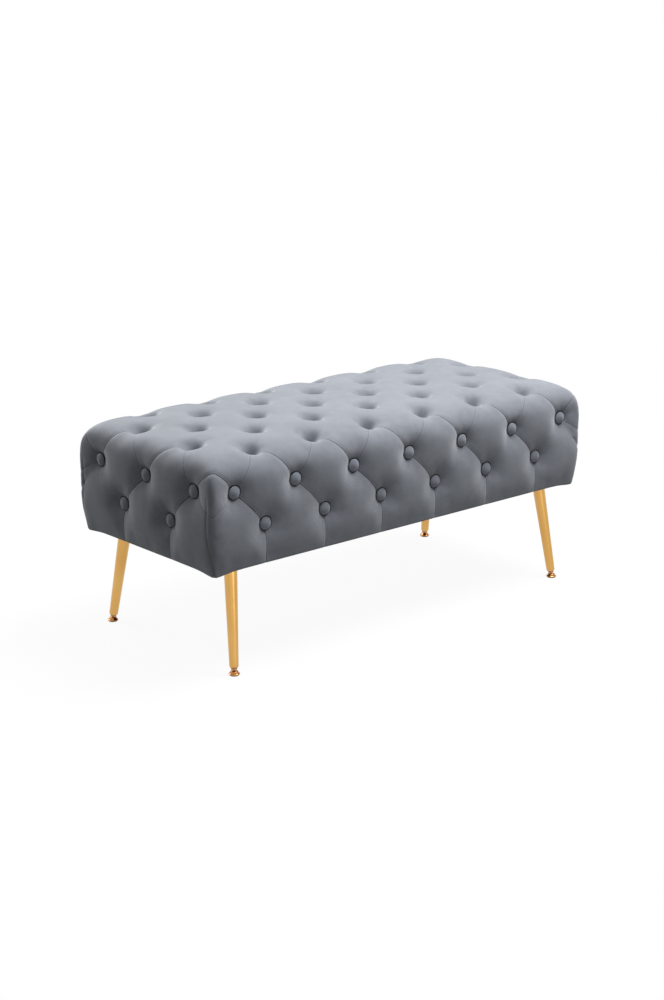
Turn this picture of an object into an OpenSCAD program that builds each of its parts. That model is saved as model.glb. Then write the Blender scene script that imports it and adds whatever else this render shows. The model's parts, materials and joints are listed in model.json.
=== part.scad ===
// Long tufted pouf: a plywood box padded with foam under buttoned velvet, on four splayed
// tapered metal legs with screw-in tilting glides. Millimetres, +Z up, origin on the floor
// under the middle, length along X, the long front side towards -Y.

/* [Upholstered body] */
// Length over the crests of the padding
body_l = 1060; // [1030:5:1120]
// Width over the crests of the padding
body_w = 460; // [450:2:500]
// Height of the seat's crests above the floor
seat_h = 450; // [425:5:480]
// Height of the upholstered body, crests to underside
body_h = 222; // [216:1:232]
// Radius of the vertical corners seen from above
corner_r = 18; // [12:1:26]
// Radius of the lower edge all round
lower_edge_r = 7; // [5:1:12]
// How far the walls are drawn in at the lower edge
draw_in = 1.5; // [1:0.5:4]

/* [Tufting] */
// Spacing of the buttons along the length
long_pitch = 157; // [150:1:160]
// Spacing of the buttons across the short walls
short_pitch = 160; // [150:1:164]
// Spacing from one row on the seat to the next
row_gap = 88; // [80:1:90]
// Drop from the crests to the walls' upper buttons
upper_drop = 66; // [64:1:70]
// Drop from the walls' upper buttons to the lower ones
lower_drop = 78; // [72:1:82]
// Depth of the seat's pits at their buttons
seat_pit = 42; // [34:1:44]
// Depth of the walls' pits at their buttons
wall_pit = 19; // [15:1:20]
// Depth of the seat's creases midway between buttons
seat_crease = 9; // [6:1:12]
// Depth of the walls' creases midway between buttons
wall_crease = 5; // [3:1:7]
// Depth of the upright pleats under the lower buttons
pleat = 4; // [2:0.5:5]
// Thickness of the velvet and its wadding under a seat button
seat_wadding = 8; // [7:0.5:9]
// Thickness of the velvet and its wadding under a wall button
wall_wadding = 5; // [4.5:0.5:6]
// Thickness of the velvet and its wadding at the crests
crest_wadding = 2.5; // [2:0.5:3]
// Diameter of a covered button
button_d = 27; // [23:1:28]
// Height of a covered button's dome
button_h = 7; // [5:0.5:8]

/* [Wooden box] */
// Padding from the seat's crests down to the deck
seat_padding = 58; // [57:1:66]
// Padding from the walls' crests in to the rails
wall_padding = 30; // [29:1:34]
// Thickness of the deck
deck_t = 18; // [16:1:20]
// Thickness of the rails and the braces
rail_t = 15; // [12:1:16]
// Height of the cross braces
brace_h = 100; // [60:5:120]
// Length of a corner block, along the body
block_l = 95; // [90:1:110]
// Width of a corner block, across the body
block_w = 60; // [58:1:66]
// Height of a corner block
block_h = 60; // [45:1:64]

/* [Legs] */
// Inset of a foot's centre from the end of the body
foot_inset_l = 59; // [54:1:70]
// Inset of a foot's centre from the side of the body
foot_inset_w = 17; // [14:1:24]
// How far a leg leans out along the length
splay_l = 20; // [14:1:24]
// How far a leg leans out across the width
splay_w = 33; // [28:1:35]
// Diameter of a leg at its top
leg_top_d = 26; // [24:0.5:28]
// Diameter of a leg at its foot
leg_foot_d = 18; // [17.5:0.5:22]
// Wall of the leg tube
leg_wall = 1.2; // [0.8:0.1:1.5]
// Side of a leg's square plate
plate_side = 72; // [68:1:76]
// Thickness of a leg's plate
plate_t = 3; // [2:0.5:4]

/* [Glides] */
// Diameter of a glide's foot
glide_d = 23; // [20:0.5:26]
// Diameter of the glide's threaded stem
stem_d = 8; // [7.5:0.5:9]
// How far a glide unscrews
glide_travel = 8; // [4:1:10]

/* [Hidden] */
$fn = 48;

// Colours as the object has them
velvet_colour = "#6d727a";
foam_colour = "#e9dfbf";
ply_colour = "#c8a878";
steel_colour = "#a9abad";
twine_colour = "#d8cfba";
cloth_colour = "#2a2b2d";
gold_colour = "#d9a64e";

// Clearances and overruns
overrun = 2;            // how far a cut runs past what it cuts
soft_gap = 0.3;         // between a soft piece and its neighbour
wood_gap = 0.1;         // round a screw, a nail or a plug in its hole
run_gap = 0.05;         // round the stem and the ball, on the radius

// The tufting is laid out in quarter pitches: a counts along the length, b across the width,
// and m down the wall from the upper row of buttons. Even steps are buttons or puffs.
seat_a = 12;            // from the middle to the seat's last column
seat_b = 4;             // from the middle to the seat's last row
wall_a = seat_a + 2;    // the short wall
wall_b = seat_b + 2;    // the long wall
lower_m = 2;            // the walls' lower row of buttons
edge_m = 4;             // where the lower edge starts to turn in
under_m = 6;            // the flat underside
shoulder_share = 0.2;   // of a pit's depth, midway between a button and a puff
edge_tuft_share = 0.5;  // of the tufting's depth where the seat turns over its edge
edge_round_share = 0.7; // how square the seat's edge is turned, 1 for a round one
pleat_shares = [1, 0.75, 0.5, 0.5];
turn_in_shares = [0, 0.3, 1];

// Heights
under_z = seat_h - body_h;
cloth_t = 1.5;
wood_z = under_z + cloth_t;
deck_z = seat_h - seat_padding;
rail_top_z = deck_z - deck_t;
upper_z = seat_h - upper_drop;
lower_z = upper_z - lower_drop;
dust_t = 0.8;
dust_z = under_z - dust_t;
plate_z = dust_z - plate_t;

// Half sizes in plan
half_l = body_l / 2;
half_w = body_w / 2;
box_l = half_l - wall_padding;
box_w = half_w - wall_padding;
lap = 10;               // of the velvet onto the rails' undersides

// Screws, nails, twine and staples
screw_d = 4;
screw_head_d = 8;
screw_head_h = 2.5;
screw_tip_h = 4;
frame_screw_l = 45;
deck_screw_l = 38;
plate_screw_l = 20;
nail_d = 2.4;
nail_grip = 11;
nail_tip_h = 2.5;
twine_d = 1.2;
twine_hole_d = 5;
eye_wire_d = 1.6;
eye_r = 3;
washer_d = 14;
washer_t = 1.5;
knot_d = 7;
knot_h = 5;
staple_w = 10;
staple_wire = 0.9;
staple_leg_l = 8;
staple_pitch = 78;
button_rim_h = 2;
button_r = button_d / 2;

// Legs and glides, measured up from the floor and then along a leg's own axis
pad_t = 2;
pad_lip = 1.5;
foot_rim_t = 2;
foot_crown_r = 7.5;
foot_crown_h = 2.4;
ball_r = 4;
ball_z = 6.6;
neck_r = 2.2;
collar_r = 6.8;
collar_h = 3.4;
collar_lift = 5.4;
leg_lift = collar_lift + collar_h + soft_gap;
end_roll_share = 0.8;   // of the tube's wall
leg_end_r = leg_wall * end_roll_share;
plug_h = 24;
stem_grip = 18;
stem_l = stem_grip + glide_travel;
plate_lip = 3;
plate_corner_r = 8;
dust_inset = 14;
dust_corner_r = 12;
plate_hole_shares = [[0.14, 0.14], [0.86, 0.14], [0.14, 0.74], [0.5, 0.5]];

leg_drop = plate_z - ball_z;
lean = atan2(norm([splay_l, splay_w]), leg_drop);
foot_x = half_l - foot_inset_l;
foot_y = half_w - foot_inset_w;
leg_x = foot_x - splay_l;
leg_y = foot_y - splay_w;
plate_low_x = leg_x + leg_top_d / 2 + plate_lip - plate_side;
plate_low_y = leg_y + leg_top_d / 2 + plate_lip - plate_side;

// Small sums used all over
function odd(n) = abs(n) % 2 == 1;
function mix(p, q, t) = p + (q - p) * t;
function unit(v) = v / norm(v);
function turned(v, last) = max(0, abs(v) - last) / 2;
function side(v) = v < 0 ? -1 : 1;

// How far out and how far down the seat's edge has turned, as shares
function out_share(t, on_wall) = mix(pow(sin(90 * t), edge_round_share), t, on_wall);
function down_share(t) = 1 - pow(cos(90 * t), edge_round_share);

// Height of the step m on a wall
function wall_z(m) =
    m == under_m ? under_z :
    m > edge_m ? under_z + lower_edge_r * (1 - turn_in_shares[1]) / 2 :
    m == edge_m ? under_z + lower_edge_r :
    m > lower_m ? (lower_z + under_z + lower_edge_r) / 2 :
    upper_z - lower_drop * m / lower_m;

// How far the wall stands in from the crest line at the step m
function wall_in(m) = draw_in * min(m, edge_m) / edge_m
    + (m > edge_m ? lower_edge_r * turn_in_shares[m - edge_m] : 0);

// A point of the smooth body before it is tufted
function smooth_point(a, b, m) =
    let (ta = turned(a, seat_a), tb = turned(b, seat_b))
    let (row = mix(row_gap / 2, short_pitch / 4, ta))
    let (xa = seat_a * long_pitch / 4, yb = seat_b * row)
    let (x = ta == 0 ? abs(a) * long_pitch / 4 : mix(xa, half_l, out_share(ta, tb)))
    let (y = tb == 0 ? abs(b) * row : mix(yb, half_w, out_share(tb, ta)))
    let (pull = corner_r * (1 - sqrt(0.5)) * min(ta, tb))
    let (z = m > 0 ? wall_z(m) : seat_h - upper_drop * (1 - (1 - down_share(ta)) * (1 - down_share(tb))))
    [side(a) * (x - pull), side(b) * (y - pull), z];

// Which way the padding swells there
function outward(a, b, m) =
    let (ta = turned(a, seat_a), tb = turned(b, seat_b))
    unit([side(a) * sin(90 * ta), side(b) * sin(90 * tb), m > 0 ? 0 : cos(90 * max(ta, tb))]);

function is_corner(a, b) = abs(a) == wall_a && abs(b) == wall_b;
function is_lattice(a, b, m) = !odd(a) && !odd(b) && !odd(m);
function is_button(a, b, m) = is_lattice(a, b, m) && odd((abs(a) + abs(b) + m) / 2) && m <= lower_m;

// How deep the velvet is drawn in there
function tuft(a, b, m) =
    let (wall = max(turned(a, seat_a), turned(b, seat_b)))
    let (pit = is_corner(a, b) ? wall_crease : mix(seat_pit, wall_pit, wall))
    let (odds = (odd(a) ? 1 : 0) + (odd(b) ? 1 : 0) + (odd(m) ? 1 : 0))
    let (eased = wall > 0 && wall < 1 ? edge_tuft_share : 1)
    let (pleated = !odd(a) && !odd(b) && odd((abs(a) + abs(b) + lower_m) / 2))
    m > lower_m ? (pleated ? pleat * pleat_shares[m - lower_m - 1] : 0) :
    odds == 2 ? eased * mix(seat_crease, wall_crease, wall) :
    odds == 1 ? eased * pit * shoulder_share :
    is_button(a, b, m) ? pit : 0;

// How thick the velvet and its wadding are there
function wadding(a, b, m) =
    is_button(a, b, m) && !is_corner(a, b) ?
        mix(seat_wadding, wall_wadding, max(turned(a, seat_a), turned(b, seat_b))) : crest_wadding;

// A point of the tufted surface, or of a surface so many linings inside it
function tuft_point(a, b, m, lining, gap) =
    let (depth = tuft(a, b, m) + lining * wadding(a, b, m) + gap + wall_in(m))
    smooth_point(a, b, m) - depth * outward(a, b, m)
    + [0, 0, m == under_m && lining > 0 ? cloth_t : 0];

// The closed tufted form on the steps given, split along its creases
module tufted_form(a_steps, b_steps, m_steps, lining, gap) {
    na = len(a_steps);
    nb = len(b_steps);
    rim = concat(
        [for (k = [0 : na - 2]) [k, 0]],
        [for (k = [0 : nb - 2]) [na - 1, k]],
        [for (k = [0 : na - 2]) [na - 1 - k, nb - 1]],
        [for (k = [0 : nb - 2]) [0, nb - 1 - k]]
    );
    nr = len(rim);
    steps = concat(
        [for (j = [0 : nb - 1]) for (i = [0 : na - 1]) [a_steps[i], b_steps[j], 0]],
        [for (m = m_steps) for (c = rim) [a_steps[c[0]], b_steps[c[1]], m]]
    );
    points = [for (s = steps) tuft_point(s[0], s[1], s[2], lining, gap)];
    depths = [for (s = steps) is_lattice(s[0], s[1], s[2]) ? tuft(s[0], s[1], s[2]) : -1];
    reaches = [for (s = steps) abs(s[0]) + abs(s[1]) + s[2]];
    function grid(i, j) = j * na + i;
    function ring(r, c) = r == 0 ? grid(rim[c % nr][0], rim[c % nr][1]) : na * nb + (r - 1) * nr + c % nr;
    // splits a quad along the diagonal that holds its deepest corner, or else the nearest one
    function halves(p, q, r, s) =
        let (deeper = max(depths[p], depths[r]) - max(depths[q], depths[s]))
        let (nearer = min(reaches[q], reaches[s]) - min(reaches[p], reaches[r]))
        deeper > 0 || (deeper == 0 && nearer > 0)
            ? [[p, q, r], [p, r, s]] : [[q, r, s], [q, s, p]];
    seat = [for (j = [0 : nb - 2]) for (i = [0 : na - 2])
        each halves(grid(i, j), grid(i, j + 1), grid(i + 1, j + 1), grid(i + 1, j))];
    walls = [for (r = [0 : len(m_steps) - 1]) for (c = [0 : nr - 1])
        each halves(ring(r, c), ring(r, c + 1), ring(r + 1, c + 1), ring(r + 1, c))];
    base = [[for (c = [0 : nr - 1]) ring(len(m_steps), c)]];
    polyhedron(points = points, faces = concat(seat, walls, base));
}

// The outer face, on every step
module outer_form() {
    tufted_form([for (a = [-wall_a : wall_a]) a], [for (b = [-wall_b : wall_b]) b],
        [for (m = [1 : under_m]) m], 0, 0);
}

// The space inside the velvet and its wadding, on the buttons and puffs and round the seat's edge
module inner_form(gap) {
    tufted_form(
        concat([-wall_a, -wall_a + 1], [for (a = [-seat_a : 2 : seat_a]) a], [wall_a - 1, wall_a]),
        concat([-wall_b, -wall_b + 1], [for (b = [-seat_b : 2 : seat_b]) b], [wall_b - 1, wall_b]),
        [lower_m, edge_m, under_m], 1, gap);
}

// Where the buttons are, as steps
a_spots = [for (a = [-seat_a : 2 : seat_a]) a];
b_spots = [for (b = [-seat_b : 2 : seat_b]) b];
seat_spots = [for (b = b_spots) for (a = a_spots) if (is_button(a, b, 0)) [a, b, 0]];
long_spots = [for (m = [0, lower_m]) for (a = a_spots) if (is_button(a, wall_b, m)) [a, wall_b, m]];
short_spots = [for (m = [0, lower_m]) for (b = b_spots) if (is_button(wall_a, b, m)) [wall_a, b, m]];
front_spots = [for (s = long_spots) [s[0], -s[1], s[2]]];
left_spots = [for (s = short_spots) [-s[0], s[1], s[2]]];

// How far a button's back stands off the bottom of its pit, where its rim meets the velvet
end_step = (half_l - seat_a * long_pitch / 4) / 2;
side_step = (half_w - seat_b * short_pitch / 4) / 2;
hem_step = lower_z - wall_z(lower_m + 1);
seat_rise = seat_pit * (1 - shoulder_share) / min(long_pitch / 4, row_gap / 2);
wall_step = min(long_pitch / 4, short_pitch / 4, lower_drop / 2, end_step, side_step);
wall_rise = max(wall_pit * (1 - shoulder_share) / wall_step, (wall_pit - pleat) / hem_step);
seat_lift = button_r * seat_rise + soft_gap;
wall_lift = button_r * wall_rise + soft_gap;

// Puts a child at each spot with its Z pointing out of the surface
module at_spots(spots) {
    for (s = spots) {
        n = outward(s[0], s[1], s[2]);
        translate(tuft_point(s[0], s[1], s[2], 0, 0))
            if (n[2] > 0.5) children();
            else if (abs(n[1]) > 0.5) rotate([n[1] < 0 ? 90 : -90, 0, 0]) children();
            else rotate([0, n[0] < 0 ? -90 : 90, 0]) children();
    }
}

// A straight hole of one diameter through the pit of each spot
module pierce(spots, hole_d, depth) {
    at_spots(spots) translate([0, 0, -depth]) cylinder(h = depth + overrun + seat_lift, d = hole_d);
}

wall_reach = wall_padding + nail_grip;
seat_reach = seat_padding + deck_t;

module nail_holes(spots) {
    pierce(spots, nail_d + 2 * wood_gap, wall_reach);
}

// Velvet and wadding
module velvet_cover() {
    color(velvet_colour) difference() {
        outer_form();
        inner_form(0);
        translate([-box_l + lap, -box_w + lap, under_z - overrun])
            cube([2 * (box_l - lap), 2 * (box_w - lap), cloth_t + 2 * overrun]);
        pierce(seat_spots, twine_hole_d, seat_wadding + overrun);
        pierce(concat(long_spots, front_spots, short_spots, left_spots),
            nail_d + 2 * wood_gap, wall_wadding + overrun);
    }
}

// Foam
module foam_in(low, high) {
    intersection() {
        inner_form(soft_gap);
        translate(low) cube(high - low);
    }
}

module top_foam() {
    color(foam_colour) difference() {
        foam_in([-half_l, -half_w, deck_z], [half_l, half_w, seat_h + overrun]);
        pierce(seat_spots, twine_hole_d, seat_padding);
    }
}

module back_foam() {
    color(foam_colour) difference() {
        foam_in([-box_l, box_w, wood_z - overrun], [box_l, half_w + overrun, deck_z]);
        nail_holes(long_spots);
    }
}

module right_foam() {
    color(foam_colour) difference() {
        foam_in([box_l, -half_w - overrun, wood_z - overrun], [half_l + overrun, half_w + overrun, deck_z]);
        nail_holes(short_spots);
    }
}

module front_foam() mirror([0, 1, 0]) back_foam();
module left_foam() mirror([1, 0, 0]) right_foam();

// A countersunk wood screw whose head's face is at Z = 0, pointing down
module screw(length, gap) {
    r = screw_d / 2 + gap;
    head = screw_head_d / 2 + gap;
    rotate_extrude() polygon([
        [0, gap], [head, gap], [head, 0], [r, -screw_head_h],
        [r, -length + screw_tip_h - gap], [0, -length - gap]
    ]);
}

// Places of the screws
brace_x = long_pitch * 5 / 4;
end_x = box_l - rail_t / 2;
rail_span_z = rail_top_z - wood_z;
joint_shares = [0.25, 0.75];
block_xs = [box_l - rail_t - block_l * joint_shares[0], box_l - rail_t - block_l * joint_shares[1]];

module deck_screw_places() {
    for (sy = [-1, 1]) for (a = [-seat_a + 2 : 4 : seat_a - 2])
        translate([a * long_pitch / 4, sy * (box_w - rail_t / 2), deck_z]) children();
    for (sx = [-1, 1]) for (sy = [-1, 1])
        translate([sx * end_x, sy * short_pitch / 2, deck_z]) children();
}

module frame_screw_places() {
    for (sy = [-1, 1]) for (sx = [-1, 1]) {
        for (s = joint_shares) {
            screw_in_rail(sx * end_x, sy, wood_z + rail_span_z * s) children();
            screw_in_rail(sx * brace_x, sy, rail_top_z - brace_h * s) children();
        }
        for (x = block_xs) screw_in_rail(sx * x, sy, wood_z + block_h / 2) children();
    }
}

// Puts a child on a long rail's outer face, its Z pointing out
module screw_in_rail(x, sy, z) {
    translate([x, sy * box_w, z]) rotate([-sy * 90, 0, 0]) children();
}

// Wooden box
module deck_board() {
    color(ply_colour) difference() {
        translate([-box_l, -box_w, rail_top_z]) cube([2 * box_l, 2 * box_w, deck_t]);
        deck_screw_places() screw(deck_screw_l, wood_gap);
        pierce(seat_spots, twine_hole_d, seat_reach);
        nail_holes(concat(long_spots, front_spots, short_spots, left_spots));
    }
}

module rail_between(low, high, spots) {
    color(ply_colour) difference() {
        translate(low) cube(high - low);
        deck_screw_places() screw(deck_screw_l, wood_gap);
        frame_screw_places() screw(frame_screw_l, wood_gap);
        nail_holes(spots);
    }
}

module front_rail() rail_between([-box_l, -box_w, wood_z], [box_l, -box_w + rail_t, rail_top_z], front_spots);
module back_rail() rail_between([-box_l, box_w - rail_t, wood_z], [box_l, box_w, rail_top_z], long_spots);
module left_rail()
    rail_between([-box_l, -box_w + rail_t, wood_z],
        [-box_l + rail_t, box_w - rail_t, rail_top_z], left_spots);
module right_rail()
    rail_between([box_l - rail_t, -box_w + rail_t, wood_z], [box_l, box_w - rail_t, rail_top_z], short_spots);

module cross_braces() {
    color(ply_colour) difference() {
        for (sx = [-1, 1]) translate([sx * brace_x - rail_t / 2, -box_w + rail_t, rail_top_z - brace_h])
            cube([rail_t, 2 * (box_w - rail_t), brace_h]);
        frame_screw_places() screw(frame_screw_l, wood_gap);
    }
}

module corner_blocks() {
    color(ply_colour) difference() {
        for (sx = [-1, 1]) for (sy = [-1, 1]) scale([sx, sy, 1])
            translate([box_l - rail_t - block_l, box_w - rail_t - block_w, wood_z])
                cube([block_l, block_w, block_h]);
        frame_screw_places() screw(frame_screw_l, wood_gap);
        plate_screw_places() screw(plate_screw_l, wood_gap);
    }
}

module frame_screws() {
    color(steel_colour) frame_screw_places() screw(frame_screw_l, 0);
}

module deck_screws() {
    color(steel_colour) deck_screw_places() screw(deck_screw_l, 0);
}

// Buttons: a domed shell covered in velvet, its back at Z = 0
module button_dome() {
    crown = button_h - button_rim_h;
    sag_r = (button_r * button_r + crown * crown) / (2 * crown);
    intersection() {
        cylinder(h = button_h, r = button_r);
        translate([0, 0, button_h - sag_r]) sphere(r = sag_r, $fn = 96);
    }
}

// A button drawn down by twine through a wire eye on its back
module eyed_button() {
    translate([0, 0, seat_lift]) {
        button_dome();
        rotate([90, 0, 0]) rotate_extrude(angle = 180, start = 180)
            translate([eye_r, 0]) circle(d = eye_wire_d);
    }
}

// A button on a nail driven into the wood
module nailed_button(seat_in) {
    translate([0, 0, wall_lift]) button_dome();
    reach = wall_padding - wall_pit - seat_in + nail_grip;
    translate([0, 0, -reach + nail_tip_h])
        cylinder(h = reach - nail_tip_h + wall_lift + button_rim_h, d = nail_d);
    translate([0, 0, -reach]) cylinder(h = nail_tip_h, d1 = 0, d2 = nail_d);
}

module nailed_buttons(spots) {
    color(velvet_colour) for (s = spots) at_spots([s]) nailed_button(wall_in(s[2]));
}

module top_buttons() color(velvet_colour) at_spots(seat_spots) eyed_button();
module front_buttons() nailed_buttons(front_spots);
module back_buttons() nailed_buttons(long_spots);
module left_buttons() nailed_buttons(left_spots);
module right_buttons() nailed_buttons(short_spots);

// Twine: it loops over the eye's wire, drops through foam and deck and is knotted under a washer
twine_bend_r = (eye_wire_d + twine_d) / 2 + wood_gap;
twine_top = seat_lift - eye_r;
twine_drop = seat_reach - seat_pit + washer_t;

module twine() {
    translate([0, 0, twine_top]) rotate([90, 0, 90]) rotate_extrude(angle = 180)
        translate([twine_bend_r, 0]) circle(d = twine_d, $fn = 24);
    for (sy = [-1, 1]) translate([0, sy * twine_bend_r, -twine_drop - knot_h / 2])
        cylinder(h = twine_drop + twine_top + knot_h / 2, d = twine_d, $fn = 24);
    translate([0, 0, -twine_drop - knot_h]) cylinder(h = knot_h, d = knot_d, $fn = 24);
}

module tufting_twine() color(twine_colour) at_spots(seat_spots) twine();

module twine_washers() {
    color(steel_colour) at_spots(seat_spots) translate([0, 0, -twine_drop]) difference() {
        cylinder(h = washer_t, d = washer_d);
        translate([0, 0, -overrun]) cylinder(h = washer_t + 2 * overrun, d = twine_hole_d);
    }
}

// Dust cover and the staples that hold it and the velvet, between the legs' plates along the length
module rounded_sheet(l, w, r, t) {
    linear_extrude(t) {
        square([l - 2 * r, w], center = true);
        square([l, w - 2 * r], center = true);
        for (sx = [-1, 1]) for (sy = [-1, 1]) translate([sx * (l / 2 - r), sy * (w / 2 - r)]) circle(r = r);
    }
}

module dust_cover() {
    l = 2 * (half_l - draw_in - dust_inset);
    w = 2 * (half_w - draw_in - dust_inset);
    color(cloth_colour) difference() {
        translate([0, 0, dust_z]) rounded_sheet(l, w, dust_corner_r, dust_t);
        plate_screw_places() screw(plate_screw_l, wood_gap);
    }
}

module staple() {
    translate([-staple_w / 2, -staple_wire / 2, -staple_wire]) cube([staple_w, staple_wire, staple_wire]);
    for (sx = [-1, 1])
        translate([sx * (staple_w - staple_wire) / 2 - staple_wire / 2, -staple_wire / 2, -staple_wire])
            cube([staple_wire, staple_wire, staple_leg_l + staple_wire]);
}

module cover_staples() {
    line_x = box_l - lap / 2;
    line_y = box_w - lap / 2;
    long_n = floor((plate_low_x - staple_w) / staple_pitch);
    short_n = floor(line_y / staple_pitch);
    color(steel_colour) {
        for (sy = [-1, 1]) for (k = [-long_n : long_n])
            translate([k * staple_pitch, sy * line_y, dust_z]) staple();
        for (sx = [-1, 1]) for (k = [-short_n : short_n])
            translate([sx * line_x, k * staple_pitch, dust_z]) rotate([0, 0, 90]) staple();
    }
}

// Legs. A child is drawn for the corner sx, sy along the leg's own axis, up from the ball's centre
module on_leg(sx, sy) {
    translate([sx * foot_x, sy * foot_y, ball_z])
        rotate([0, lean, atan2(-sy * splay_w, -sx * splay_l)]) children();
}

module plate_screw_places() {
    for (sx = [-1, 1]) for (sy = [-1, 1]) for (s = plate_hole_shares)
        translate([sx * (plate_low_x + plate_side * s[0]), sy * (plate_low_y + plate_side * s[1]), plate_z])
            rotate([180, 0, 0]) children();
}

module plate_screws() {
    color(steel_colour) plate_screw_places() screw(plate_screw_l, 0);
}

module leg_plate(sx, sy) {
    color(gold_colour) difference() {
        translate([sx * (plate_low_x + plate_side / 2), sy * (plate_low_y + plate_side / 2), plate_z])
            rounded_sheet(plate_side, plate_side, plate_corner_r, plate_t);
        plate_screw_places() screw(plate_screw_l, wood_gap);
    }
}

// The tube's outline: it tapers all the way and its foot end is rolled in
leg_axis_l = norm([splay_l, splay_w, leg_drop]);
leg_over_l = leg_axis_l + leg_top_d;
taper_share = (leg_top_d - leg_foot_d) / 2 / (leg_axis_l - leg_lift);
function leg_r(s) = leg_foot_d / 2 + (s - leg_lift) * taper_share;
seam_turn = 90;         // keeps the tube's seam clear of the tip of its slanted top

module leg(sx, sy) {
    roll = [for (t = [0 : 30 : 90])
        [leg_foot_d / 2 - leg_end_r * (1 - sin(t)), leg_lift + leg_end_r * (1 - cos(t))]];
    color(gold_colour) difference() {
        on_leg(sx, sy) rotate([0, 0, seam_turn]) rotate_extrude() polygon(concat(
            roll,
            [[leg_r(leg_over_l), leg_over_l], [leg_r(leg_over_l) - leg_wall, leg_over_l],
             [leg_foot_d / 2 - leg_wall, leg_lift + leg_wall], [leg_foot_d / 2 - leg_wall, leg_lift]]
        ));
        translate([sx * leg_x - plate_side, sy * leg_y - plate_side, plate_z])
            cube([2 * plate_side, 2 * plate_side, 2 * leg_top_d]);
    }
}

// A threaded plug fixed in the leg's foot end
module leg_plug(sx, sy) {
    r = leg_foot_d / 2 - leg_wall - wood_gap;
    color(steel_colour) on_leg(sx, sy) translate([0, 0, leg_lift]) difference() {
        cylinder(h = plug_h, r = r);
        translate([0, 0, -overrun]) cylinder(h = plug_h + 2 * overrun, r = stem_d / 2);
    }
}

// Glides: a stem with a collar and a ball end, a foot that tilts on the ball, and a pad under it
module glide_stem(sx, sy) {
    color(gold_colour) on_leg(sx, sy) {
        sphere(r = ball_r);
        cylinder(h = collar_lift + collar_h / 2, r = neck_r);
        translate([0, 0, collar_lift]) cylinder(h = collar_h, r = collar_r);
        translate([0, 0, collar_lift]) cylinder(h = collar_h + stem_l, r = stem_d / 2 - run_gap);
    }
}

module glide_foot(sx, sy) {
    rim_z = pad_t + foot_rim_t;
    crown_z = ball_z + foot_crown_h;
    color(gold_colour) translate([sx * foot_x, sy * foot_y, 0]) difference() {
        rotate_extrude() polygon([
            [0, pad_t], [glide_d / 2, pad_t], [glide_d / 2, rim_z], [foot_crown_r, crown_z], [0, crown_z]
        ]);
        translate([0, 0, ball_z]) sphere(r = ball_r + run_gap);
    }
}

module glide_pad(sx, sy) {
    color(cloth_colour) translate([sx * foot_x, sy * foot_y, 0])
        cylinder(h = pad_t, r = glide_d / 2 - pad_lip);
}

module front_left_leg_plate() leg_plate(-1, -1);
module front_right_leg_plate() leg_plate(1, -1);
module back_left_leg_plate() leg_plate(-1, 1);
module back_right_leg_plate() leg_plate(1, 1);
module front_left_leg() leg(-1, -1);
module front_right_leg() leg(1, -1);
module back_left_leg() leg(-1, 1);
module back_right_leg() leg(1, 1);
module front_left_leg_plug() leg_plug(-1, -1);
module front_right_leg_plug() leg_plug(1, -1);
module back_left_leg_plug() leg_plug(-1, 1);
module back_right_leg_plug() leg_plug(1, 1);
module front_left_glide_stem() glide_stem(-1, -1);
module front_right_glide_stem() glide_stem(1, -1);
module back_left_glide_stem() glide_stem(-1, 1);
module back_right_glide_stem() glide_stem(1, 1);
module front_left_glide_foot() glide_foot(-1, -1);
module front_right_glide_foot() glide_foot(1, -1);
module back_left_glide_foot() glide_foot(-1, 1);
module back_right_glide_foot() glide_foot(1, 1);
module front_left_glide_pad() glide_pad(-1, -1);
module front_right_glide_pad() glide_pad(1, -1);
module back_left_glide_pad() glide_pad(-1, 1);
module back_right_glide_pad() glide_pad(1, 1);

velvet_cover();
top_foam();
front_foam();
back_foam();
left_foam();
right_foam();
deck_board();
front_rail();
back_rail();
left_rail();
right_rail();
cross_braces();
corner_blocks();
frame_screws();
deck_screws();
top_buttons();
front_buttons();
back_buttons();
left_buttons();
right_buttons();
tufting_twine();
twine_washers();
dust_cover();
cover_staples();
plate_screws();
front_left_leg_plate();
front_right_leg_plate();
back_left_leg_plate();
back_right_leg_plate();
front_left_leg();
front_right_leg();
back_left_leg();
back_right_leg();
front_left_leg_plug();
front_right_leg_plug();
back_left_leg_plug();
back_right_leg_plug();
front_left_glide_stem();
front_right_glide_stem();
back_left_glide_stem();
back_right_glide_stem();
front_left_glide_foot();
front_right_glide_foot();
back_left_glide_foot();
back_right_glide_foot();
front_left_glide_pad();
front_right_glide_pad();
back_left_glide_pad();
back_right_glide_pad();
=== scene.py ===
"""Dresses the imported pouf: tufted velvet on a padded box, with splayed satin gold legs."""

import sys
import json
import logging
import math
import random
from collections.abc import Iterable
from dataclasses import dataclass
from enum import Enum
from functools import cached_property, reduce
from typing import Any, NamedTuple

import bmesh
import bpy
import numpy as np
from mathutils import Matrix, Vector


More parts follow.
